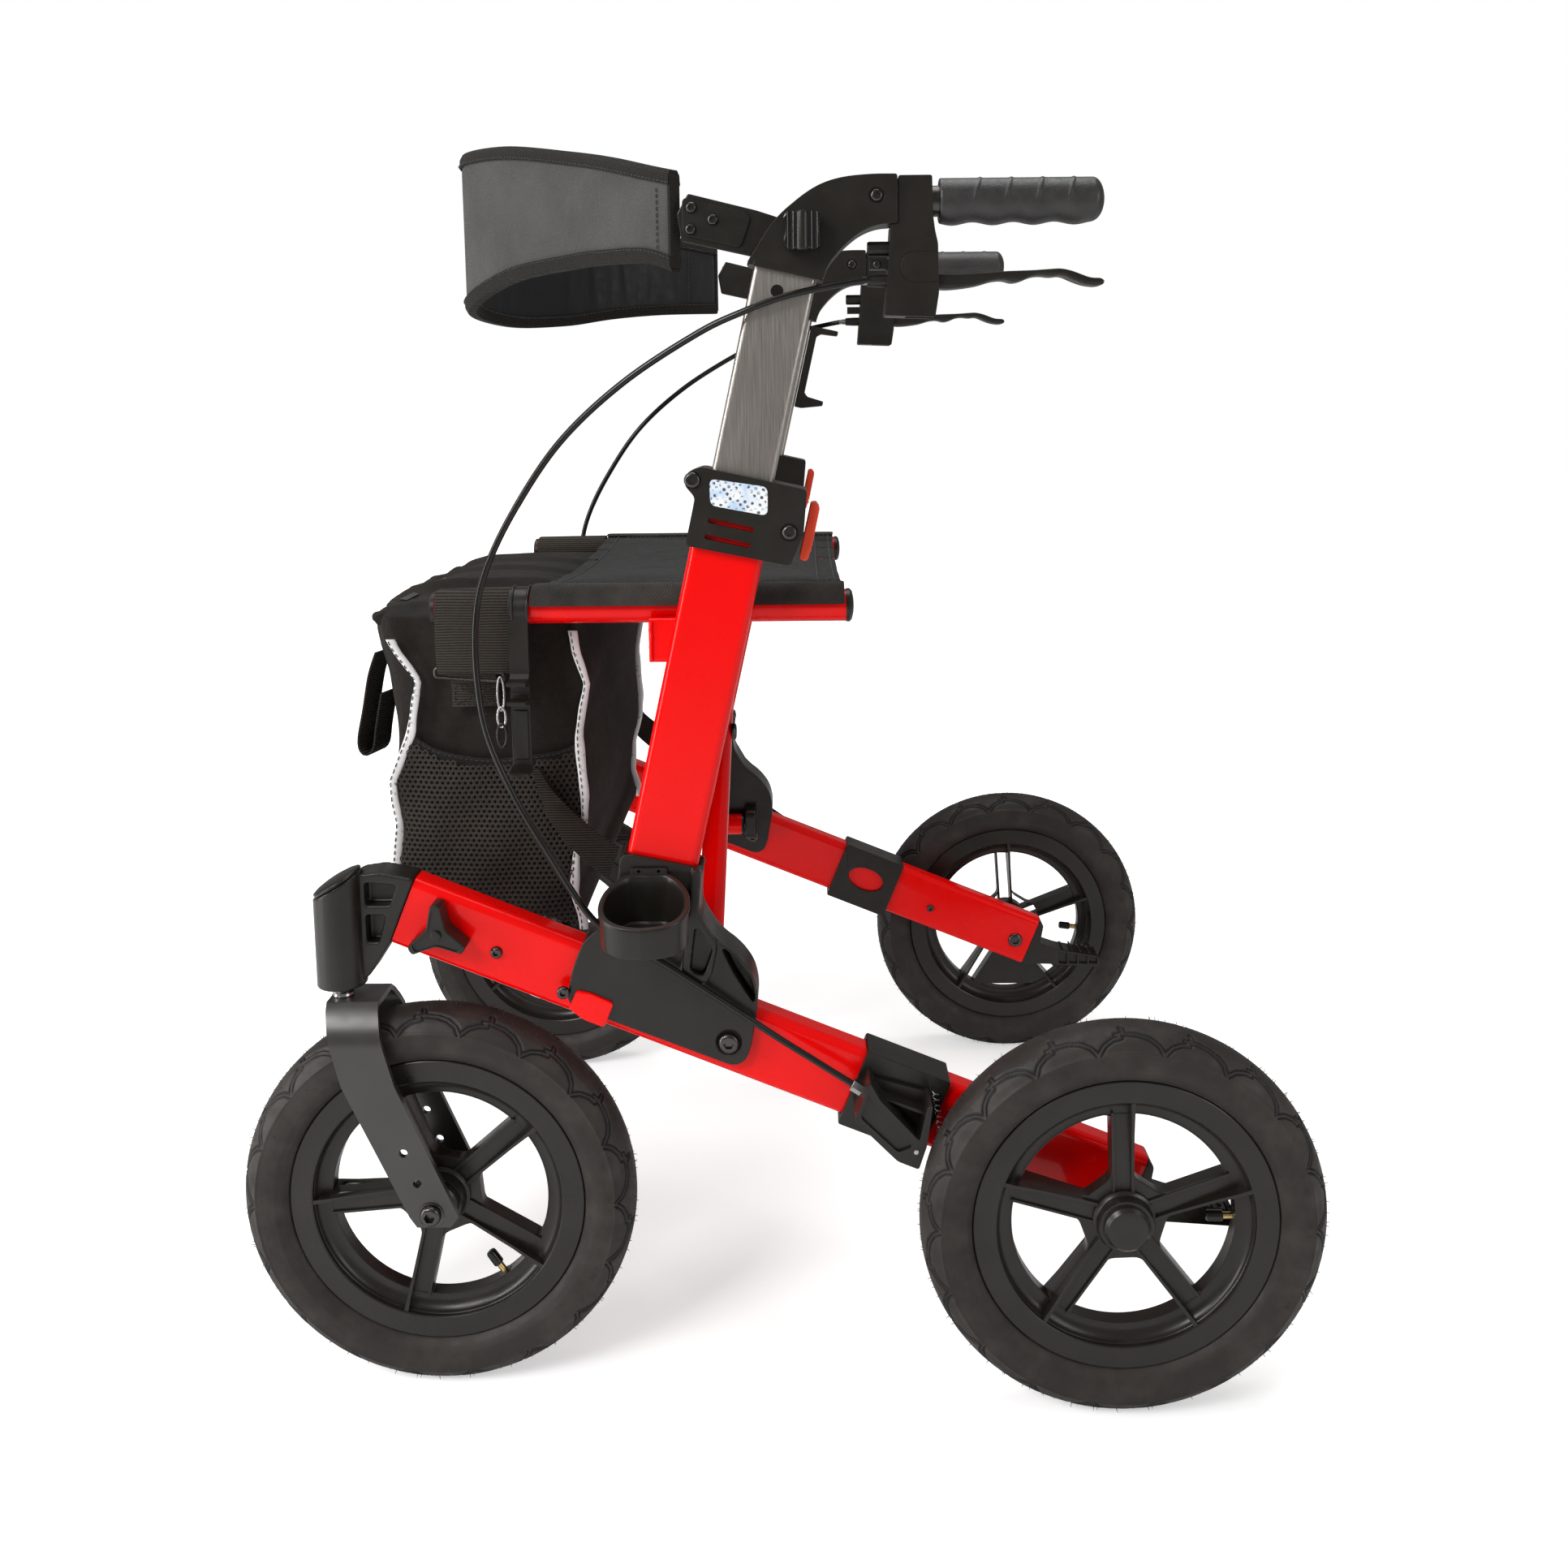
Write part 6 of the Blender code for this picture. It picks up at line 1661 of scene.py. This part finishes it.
def backrest():
    """The backrest band: grey twill outside, a black quilted lining inside, and bound edges."""
    stations = band_stations()
    rings = []
    for middle, _, out, low, high in stations:
        section = ((-0.0022, low), (0.0022, low), (0.0044, low + 0.012), (0.0046, high - 0.012),
                   (0.0022, high), (-0.0022, high), (-0.0046, high - 0.012), (-0.0044, low + 0.012))
        rings.append([middle + out * n + Vector((0, 0, z)) for n, z in section])
    obj = mesh_object("backrest_pad", [(loft(rings), finishes["twill"])])
    tidy(obj)
    voxelled(obj, 0.0040)
    nearest = []
    for v in obj.data.vertices:
        nearest.append(min(range(len(stations)), key=lambda k: (stations[k][0].xy - v.co.xy).length_squared))
    spots = {tuple(round(c, 6) for c in v.co): n for v, n in zip(obj.data.vertices, nearest)}

    def held(p):
        k = spots[tuple(round(c, 6) for c in p)]
        _, _, _, low, high = stations[k]
        edge = min(p.z - low, high - p.z)
        return 1.0 if edge < 0.010 or k < 4 or k > len(stations) - 5 else 0.0

    puffed(obj, held, 0.005, 4.0)
    chance = random.Random(5)
    folds = [(chance.uniform(4, 86), chance.uniform(-0.5, 0.5), chance.uniform(0.5, 1.4)) for _ in range(46)]
    for v, k in zip(obj.data.vertices, nearest):
        middle, way, out, low, high = stations[k]
        offset = v.co.xy - middle.xy
        along_band = k + offset.dot(way.xy) / 0.0085
        if offset.dot(out.xy) * OUTWARD < 0:
            share = (v.co.z - low) / (high - low)
            for spot, slant, size in folds:
                gap = (along_band - spot - slant * 5 * (share - 0.5)) / 0.9
                fade = math.sin(math.pi * min(max(share * 1.25, 0), 1))
                v.co += out * OUTWARD * FOLD_DEPTH * size * math.exp(-gap * gap) * fade
    subdivided(obj)
    finish_soft(obj, finishes["twill"], "handle_left", ["backrest"], BAND)
    obj.data.materials.append(finishes["lining"])
    for face in obj.data.polygons:
        k = min(range(0, len(stations), 3), key=lambda n: (stations[n][0].xy - face.center.xy).length_squared)
        if face.normal.dot(stations[k][2]) * OUTWARD < -0.25:
            face.material_index = 1
    edges, threads = [], []
    for which in (3, 4):
        sign = 1 if which == 3 else -1
        wrap = []
        for middle, way, out, *heights in stations:
            z = heights[which - 3]
            wrap.append([middle + out * n + Vector((0, 0, z + sign * h)) for n, h in (
                (-0.0062, 0.0100), (-0.0058, 0.0030), (-0.0036, -0.0008), (0.0036, -0.0008), (0.0058, 0.0030),
                (0.0062, 0.0100), (0.0050, 0.0102), (0.0046, 0.0035), (0.0, 0.0015), (-0.0046, 0.0035),
                (-0.0050, 0.0102))])
        edges.append(loft(wrap))
        for n in (-0.0064, 0.0064):
            line = [middle + out * n + Vector((0, 0, heights[which - 3] + sign * 0.0085))
                    for middle, way, out, *heights in stations]
            threads.append(stitches(line, stations[45][2] * (1 if n > 0 else -1)))
    for k in (5, -6):
        middle, way, out, low, high = stations[k]
        for n in (-0.0056, 0.0056):
            threads.append(stitches([middle + out * n + Vector((0, 0, z))
                                     for z in (low + 0.012, (low + high) / 2, high - 0.012)],
                                    out * (1 if n > 0 else -1)))
    for k in (0, -1):
        middle, way, out, low, high = stations[k]
        inward = way if k == 0 else -way
        cap = [middle - inward * 0.0006, middle + inward * 0.0018]
        edges.append(loft([[p + out * n + Vector((0, 0, z)) for n, z in (
            (-0.0050, low + 0.002), (0.0050, low + 0.002), (0.0050, high - 0.002), (-0.0050, high - 0.002))]
                           for p in cap]))
    soft_piece("backrest_binding", [(shape, finishes["binding"]) for shape in edges], "handle_left",
               squash=BAND)
    soft_piece("backrest_stitching", [(merged(*threads), finishes["thread"])], "handle_left", squash=BAND)


def along_line(line, z):
    """The x of a (z, x) line at a height."""
    return float(np.interp(z, [p[0] for p in line], [p[1] for p in line]))


def bag_wall(x):
    """How far the bag's side stands out at a place along it."""
    return 0.1860 + 0.0030 * math.sin(math.pi * min(max((x - 0.155) / 0.148, 0.0), 1.0))


def bag():
    """The shopping bag: a slack cloth box with reflective piping, a net pocket and webbing straps."""
    rings = []
    for k in range(33):
        t = k / 32
        ring = []
        front_z = 0.3740 + (0.5960 - 0.3740) * t
        rear_z = 0.3360 + (0.6000 - 0.3360) * t
        x_front, x_rear = along_line(BAG_FRONT, front_z), along_line(BAG_REAR, rear_z)
        bulge = along_line(BAG_NOSE, front_z) - x_front
        side_line = [(x_rear + (x_front - x_rear) * u, 0.0) for u in (0.0, 0.2, 0.4, 0.6, 0.8, 1.0)]
        near = [(x, bag_wall(x)) for x, _ in side_line]
        nose = [(x_front + bulge * 0.55, 0.178), (x_front + bulge * 0.9, 0.150), (x_front + bulge, 0.090),
                (x_front + bulge, 0.0)]
        half = near + nose
        outline = half + [(x, -y) for x, y in half[-2::-1]]
        for x, y in outline:
            share = (x - x_rear) / max(x_front - x_rear, 1e-6)
            z = rear_z + (front_z - rear_z) * min(max(share, 0.0), 1.3)
            ring.append((x, y, z))
        ring += [(x_rear, -0.12, rear_z), (x_rear, -0.04, rear_z), (x_rear, 0.04, rear_z),
                 (x_rear, 0.12, rear_z)]
        rings.append(ring)
    lid = []
    centre = Vector((0.255, 0.0, 0.598))
    for scale, lift in ((0.93, 0.0005), (0.80, 0.0030), (0.55, 0.0085), (0.25, 0.0110)):
        lid.append([centre + (Vector(p) - centre) * scale + Vector((0, 0, lift)) for p in rings[32]])
    obj = mesh_object("bag_body", [(loft(rings + lid), finishes["canvas"])])
    tidy(obj)
    voxelled(obj, 0.0060)

    def held(p):
        z = p.z
        front, rear = along_line(BAG_FRONT, z), along_line(BAG_REAR, z)
        corner = abs(p.y) > 0.172 and (abs(p.x - front) < 0.006 or abs(p.x - rear) < 0.006)
        return 1.0 if corner or z > 0.585 and p.x < 0.20 else (0.35 if abs(p.y) > 0.180 else 0.0)

    puffed(obj, held, 0.007, 3.0)
    chance = random.Random(8)
    puckers = []
    for _ in range(34):
        side = chance.choice((1, -1))
        puckers.append((chance.uniform(0.17, 0.29), side, chance.uniform(0.50, 0.59),
                        chance.uniform(-0.6, 0.6), chance.uniform(0.012, 0.035),
                        chance.uniform(0.0008, 0.0020)))
    gathers = [(chance.uniform(-0.17, 0.17), chance.uniform(0.004, 0.010), chance.uniform(0.001, 0.003))
               for _ in range(40)]
    normals = [v.normal.copy() for v in obj.data.vertices]
    for v, normal in zip(obj.data.vertices, normals):
        push = 0.0
        if abs(v.co.y) > 0.17:
            for x, side, z, slant, size, height in puckers:
                if side * v.co.y > 0:
                    off, on = v.co.x - x - slant * (v.co.z - z), v.co.z - z
                    push -= height * math.exp(-((off / 0.008) ** 2) - (on / size) ** 2)
        if v.co.x > 0.29 or v.co.z > 0.60:
            rise = min(1.0, max(0.0, (v.co.z - 0.50) / 0.08))
            for y, width, height in gathers:
                push += height * math.exp(-(((v.co.y - y) / width) ** 2)) * rise
        v.co += normal * push
    subdivided(obj)
    finish_soft(obj, finishes["canvas"], "seat_sling", ["bag"], SLING)
    for side, tag in SIDES:
        bag_trim(side, tag)
    bag_front()


def bag_trim(side, tag):
    """One side of the bag: piping, net pocket and its hem, sewn webbing, ring and hook."""
    piping, thread = [], []
    for line, low, high in ((BAG_FRONT, 0.379, 0.578), (BAG_REAR, 0.337, 0.584)):
        count = 40
        path = [Vector((along_line(line, z), bag_wall(along_line(line, z)) + 0.0060, z))
                for z in [low + (high - low) * k / count for k in range(count + 1)]]
        rings = []
        for k, p in enumerate(path):
            wide = 0.0034 + 0.0005 * math.sin(k * 0.35) + 0.0003 * math.sin(k * 1.1)
            rings.append([p + Vector((wide * math.cos(a), 0.0013 * math.sin(a), 0)) for a in
                          [2 * math.pi * n / 14 for n in range(14)]])
        piping.append(loft(rings))
        thread.append(stitches([p + Vector((0.0022 if line is BAG_FRONT else 0.0015, 0.0014, 0))
                                for p in path], (0, 1, 0),
                               0.0030, 0.0022, 0.0004))
    soft_piece(f"bag_piping_{tag}", [(swap(shape, side), finishes["reflective"]) for shape in piping],
               "seat_sling", squash=SLING)
    hem_line = [(0.1585, 0.4905), (0.1731, 0.4852), (0.1966, 0.4818), (0.2247, 0.4796), (0.2479, 0.4822),
                (0.2687, 0.4871), (0.2802, 0.4932), (0.2920, 0.5010)]
    smooth_hem = curve_through([Vector((x, bag_wall(x) + 0.0046, z)) for x, z in hem_line], 0.004)
    hem = strip([p - Vector((0, 0, 0.0040)) for p in smooth_hem], [(0, 0, 0.0095)] * len(smooth_hem),
                [(0, 1, 0)] * len(smooth_hem), 0.0018)
    thread.append(stitches([p + Vector((0, 0.0011, -0.0012)) for p in smooth_hem], (0, 1, 0)))
    thread.append(stitches([p + Vector((0, 0.0011, -0.0072)) for p in smooth_hem], (0, 1, 0)))
    soft_piece(f"bag_hem_{tag}", [(swap(hem, side), finishes["binding"])], "seat_sling", squash=SLING)
    soft_piece(f"bag_stitching_{tag}", [(swap(merged(*thread), side), finishes["thread"])], "seat_sling",
               squash=SLING)
    net(side, tag, hem_line)
    bag_webbing(side, tag)


def net(side, tag, hem_line):
    """The net pocket: a knitted mesh of oval holes, bellied out from the bag's side."""
    top_z, top_x = [p[1] for p in hem_line], [p[0] for p in hem_line]
    pitch_x, pitch_z = 0.0046, 0.0040
    points, faces = [], []
    corners = [(0.5, -0.30), (0.5, 0.30), (0.0, 0.70), (-0.5, 0.30), (-0.5, -0.30), (0.0, -0.70)]
    for row in range(52):
        for column in range(36):
            x = 0.150 + (column + 0.5 * (row % 2)) * pitch_x
            z = 0.334 + row * pitch_z
            front, rear = along_line(BAG_FRONT, z) - 0.004, along_line(BAG_REAR, z) + 0.004
            floor_z = 0.3400 + (x - 0.1560) * 0.255
            if not rear < x < front or z > float(np.interp(x, top_x, top_z)) - 0.005 or z < floor_z:
                continue
            start = len(points)
            for scale, lift in ((1.02, 0.0), (0.80, 0.0005), (0.60, 0.0)):
                for u, v in corners:
                    px, pz = x + u * scale * pitch_x, z + v * scale * pitch_z
                    belly = min(1.0, (px - rear + 0.004) / 0.03, (front + 0.004 - px) / 0.03)
                    sway = 0.0035 * max(belly, 0.0) + 0.0012 * math.sin(px * 95 + pz * 60)
                    points.append((px, bag_wall(px) + 0.0052 + sway + lift, pz))
            for band in range(2):
                for n in range(6):
                    a, b = start + band * 6 + n, start + band * 6 + (n + 1) % 6
                    faces.append((a, b, b + 6, a + 6))
    obj = mesh_object(f"bag_net_{tag}", [(swap((points, faces), side), finishes["net"])])
    tidy(obj, 0.0002)
    thicken = obj.modifiers.new("thread", "SOLIDIFY")
    thicken.thickness, thicken.offset = 0.0007, 0.0
    bake(obj)
    smooth_by_angle(obj, 70)
    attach(obj, "seat_sling")
    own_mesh(obj)


def bag_webbing(side, tag):
    """Webbing over the seat tube's front end, the wire ring it holds, the sewn patch below, and the hook."""
    x, wide = (0.2294, 0.0600) if side > 0 else (0.2235, 0.0718)
    r = SEAT_TUBE_R + 0.0022
    line, normals = [], []
    for a in range(200, -1, -20):
        turn = math.radians(a)
        line.append((x, SEAT_TUBE_Y + r * math.cos(turn), SEAT_TUBE_Z + r * math.sin(turn)))
        normals.append((0, math.cos(turn), math.sin(turn)))
    for z in (0.5980, 0.5850, 0.5720, 0.5600, 0.5580):
        line.append((x, SEAT_TUBE_Y + r + (0.0004 if z > 0.57 else -0.0010), z))
        normals.append((0, 1, 0))
    line += [(x, SEAT_TUBE_Y + 0.0098, 0.5555), (x, SEAT_TUBE_Y + 0.0070, 0.5600),
             (x, SEAT_TUBE_Y + 0.0060, 0.5850)]
    normals += [(0, -0.2, -1), (0, -1, 0), (0, -1, 0)]
    for k in range(2, len(line)):
        line[k] = (line[k][0] - 0.0006 * k / len(line), *line[k][1:])
    wrap = strip(line, [(wide, 0, -0.0008)] * len(line), normals, 0.0020)
    obj = soft_piece(f"tube_webbing_{tag}", [(swap(wrap, side), finishes["webbing"])], "seat_sling",
                     squash=SLING)
    patch_path = [(0.2360, SEAT_TUBE_Y + 0.0040, 0.5575), (0.2360, SEAT_TUBE_Y - 0.0010, 0.5510),
                  (0.2360, bag_wall(0.236) + 0.0085, 0.5440), (0.2360, bag_wall(0.236) + 0.0078, 0.5340),
                  (0.2360, bag_wall(0.236) + 0.0074, 0.5245)]
    patch = strip(patch_path, [(0.0375, 0, -0.001)] * 5,
                  [(0, 1, 0.5), (0, 1, 0.8), (0, 1, 0.3), (0, 1, 0), (0, 1, 0)], 0.0022)
    obj = soft_piece(f"sewn_patch_{tag}", [(swap(patch, side), finishes["webbing"])], "seat_sling",
                     squash=SLING)
    out = bag_wall(0.236) + 0.0092
    square = [(0.2195, out, 0.5410), (0.2525, out, 0.5410), (0.2525, out - 0.0004, 0.5265),
              (0.2195, out - 0.0004, 0.5265)]
    sewn = [[square[k], square[(k + 1) % 4]] for k in range(4)] + [[square[0], square[2]],
                                                                   [square[1], square[3]]]
    thread = merged(*[stitches([a, tuple((p + q) / 2 for p, q in zip(a, b)), b], (0, 1, 0)) for a, b in sewn])
    soft_piece(f"patch_stitching_{tag}", [(swap(thread, side), finishes["thread"])], "seat_sling",
               squash=SLING)
    y = SEAT_TUBE_Y + 0.0105
    frame_ring = softened([(0.2615, 0.5600), (0.2615, 0.5530), (0.2080, 0.5490), (0.2080, 0.5560)], 0.002, 4)
    wire = tube([Vector((px, y, pz)) for px, pz in frame_ring + frame_ring[:2]], 0.0012, 10)
    hook_x, hook_y = 0.2105, SEAT_TUBE_Y + 0.0120
    links = []
    for top, bottom, half, radius in ((0.5530, 0.5260, 0.0026, 0.0008), (0.5290, 0.5130, 0.0032, 0.0010),
                                      (0.5160, 0.4970, 0.0036, 0.0013)):
        oval = [Vector((hook_x + half * math.cos(a), hook_y,
                        (top + bottom) / 2 + (top - bottom) / 2 * math.sin(a)))
                for a in [2 * math.pi * k / 28 for k in range(30)]]
        links.append(tube(oval, radius, 10))
    soft_piece(f"strap_ring_{tag}", [(swap(wire, side), finishes["bolt"])], "seat_sling", 60,
               SLING)
    parts = [(swap(link, side), finishes[mat]) for link, mat in zip(links, ("bright", "bright", "sheath"))]
    soft_piece(f"strap_hook_{tag}", parts, "seat_sling", 60, SLING)
    centre = [(0.1900, 0.2005, 0.4745), (0.1815, 0.2010, 0.4550), (0.1700, 0.2005, 0.4340),
              (0.1545, 0.2000, 0.4160), (0.1400, 0.1995, 0.4030), (0.1290, 0.1990, 0.3950)]
    across = [(0.0060, 0.0010, 0.0010), (0.0110, 0.0010, 0.0020), (0.0160, 0.0, -0.0080),
              (0.0150, 0.0, -0.0170), (0.0110, 0.0, -0.0230), (0.0090, 0.0, -0.0260)]
    line = curve_through([Vector(p) for p in centre], 0.006)
    slanting = strip(line, resampled(across, len(line)), [(0.2, 1, 0)] * len(line), 0.0020)
    obj = soft_piece(f"side_strap_{tag}", [(swap(slanting, side), finishes["webbing"])], "seat_sling",
                     squash=SLING)


def resampled(values, count):
    """The values spread evenly over a number of places."""
    places = np.linspace(0, len(values) - 1, count)
    columns = [np.interp(places, range(len(values)), [v[i] for v in values]) for i in range(3)]
    return [tuple(float(c[k]) for c in columns) for k in range(count)]


def bag_front():
    """The rolled placket along the bag's top front edge, its zip, and the strap that hangs in front."""
    rings = []
    for k in range(90):
        t = k / 89
        y = 0.176 - 0.352 * t
        end = math.sin(math.pi * min(max(t, 0.012), 0.988)) ** 0.25
        size = (0.0128 + 0.0012 * math.sin(k * 0.9) + 0.0008 * math.sin(k * 2.3 + 1)) * end
        middle = Vector((0.3130 + 0.0015 * math.sin(k * 0.37), y, 0.5905 + 0.0012 * math.sin(k * 0.61)))
        ring = []
        for n in range(20):
            a = 2 * math.pi * n / 20
            r = size * (1 + 0.10 * math.sin(3 * a + k * 0.35) + 0.07 * math.sin(7 * a - k * 0.8))
            ring.append(middle + Vector((r * 1.5 * math.cos(a), 0, r * 0.95 * math.sin(a))))
        rings.append(ring)
    obj = mesh_object("bag_placket", [(loft(rings), finishes["canvas"])])
    tidy(obj)
    subdivided(obj)
    finish_soft(obj, finishes["canvas"], "seat_sling", (), SLING)
    teeth = []
    for k in range(150):
        y = 0.150 - 0.300 * k / 149
        teeth.append(bar((0.3010, y, 0.6035), (0.3070, y, 0.6042), rounded(0.0011, 0.0012, 0.0003, 2),
                         sideways, Vector((0, 0, 1))))
    soft_piece("bag_zip", [(merged(*teeth), finishes["sheath"])], "seat_sling",
               squash=SLING)
    path = [(0.3225, 0.1500, 0.5620), (0.3290, 0.1505, 0.5430), (0.3345, 0.1510, 0.5150),
            (0.3395, 0.1515, 0.4910), (0.3385, 0.1515, 0.4800), (0.3335, 0.1510, 0.4765),
            (0.3280, 0.1500, 0.4820), (0.3250, 0.1495, 0.5000), (0.3195, 0.1490, 0.5280)]
    line = curve_through([Vector(p) for p in path], 0.003)
    normals = []
    for k, p in enumerate(line):
        step = (line[min(k + 1, len(line) - 1)] - line[max(k - 1, 0)]).normalized()
        normals.append(step.cross(sideways))
    hanging = strip(line, [(0.006, 0.0250, 0)] * len(line), normals, 0.0018)
    obj = soft_piece("bag_pull_strap", [(hanging, finishes["webbing"])], "seat_sling", squash=SLING)


set_camera()
studio()
finishes = finish_all()
cables()
tyre_data = bpy.data.meshes.new("tyre_skin")
(tyre_points, tyre_faces), groove_shade = tyre_mesh()
tyre_data.from_pydata(tyre_points, [], tyre_faces)
# the groove depth at each point, read by the rubber as painted shade in the grooves
groove_shade = np.concatenate([groove_shade, np.zeros(len(tyre_points) - len(groove_shade))])
tyre_data.attributes.new("groove", "FLOAT", "POINT").data.foreach_set("value",
                                                                      groove_shade.astype(np.float32))
tyre_data.materials.append(finishes["rubber"])
tyre_data.shade_smooth()
wheels()
for side, tag in SIDES:
    painted_tubes(side, tag)
    knuckle(side, tag)
    cup(side, tag)
    caster_head(side, tag)
    brake(side, tag)
    tip_pedal(side, tag)
    clamp(side, tag)
    clamp_lever(side, tag)
    rail_knob(side, tag)
    fork(side, tag)
    posts(side, tag)
    handle_arm(side, tag)
    grip(side, tag)
    brake_housing(side, tag)
    brake_lever(side, tag)
    backrest_mount(side, tag)
cross_brace()
clips()
seat()
backrest()
bag()
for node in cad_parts.values():
    for material_slot in node.material_slots:
        material_slot.material = finishes["plastic"]
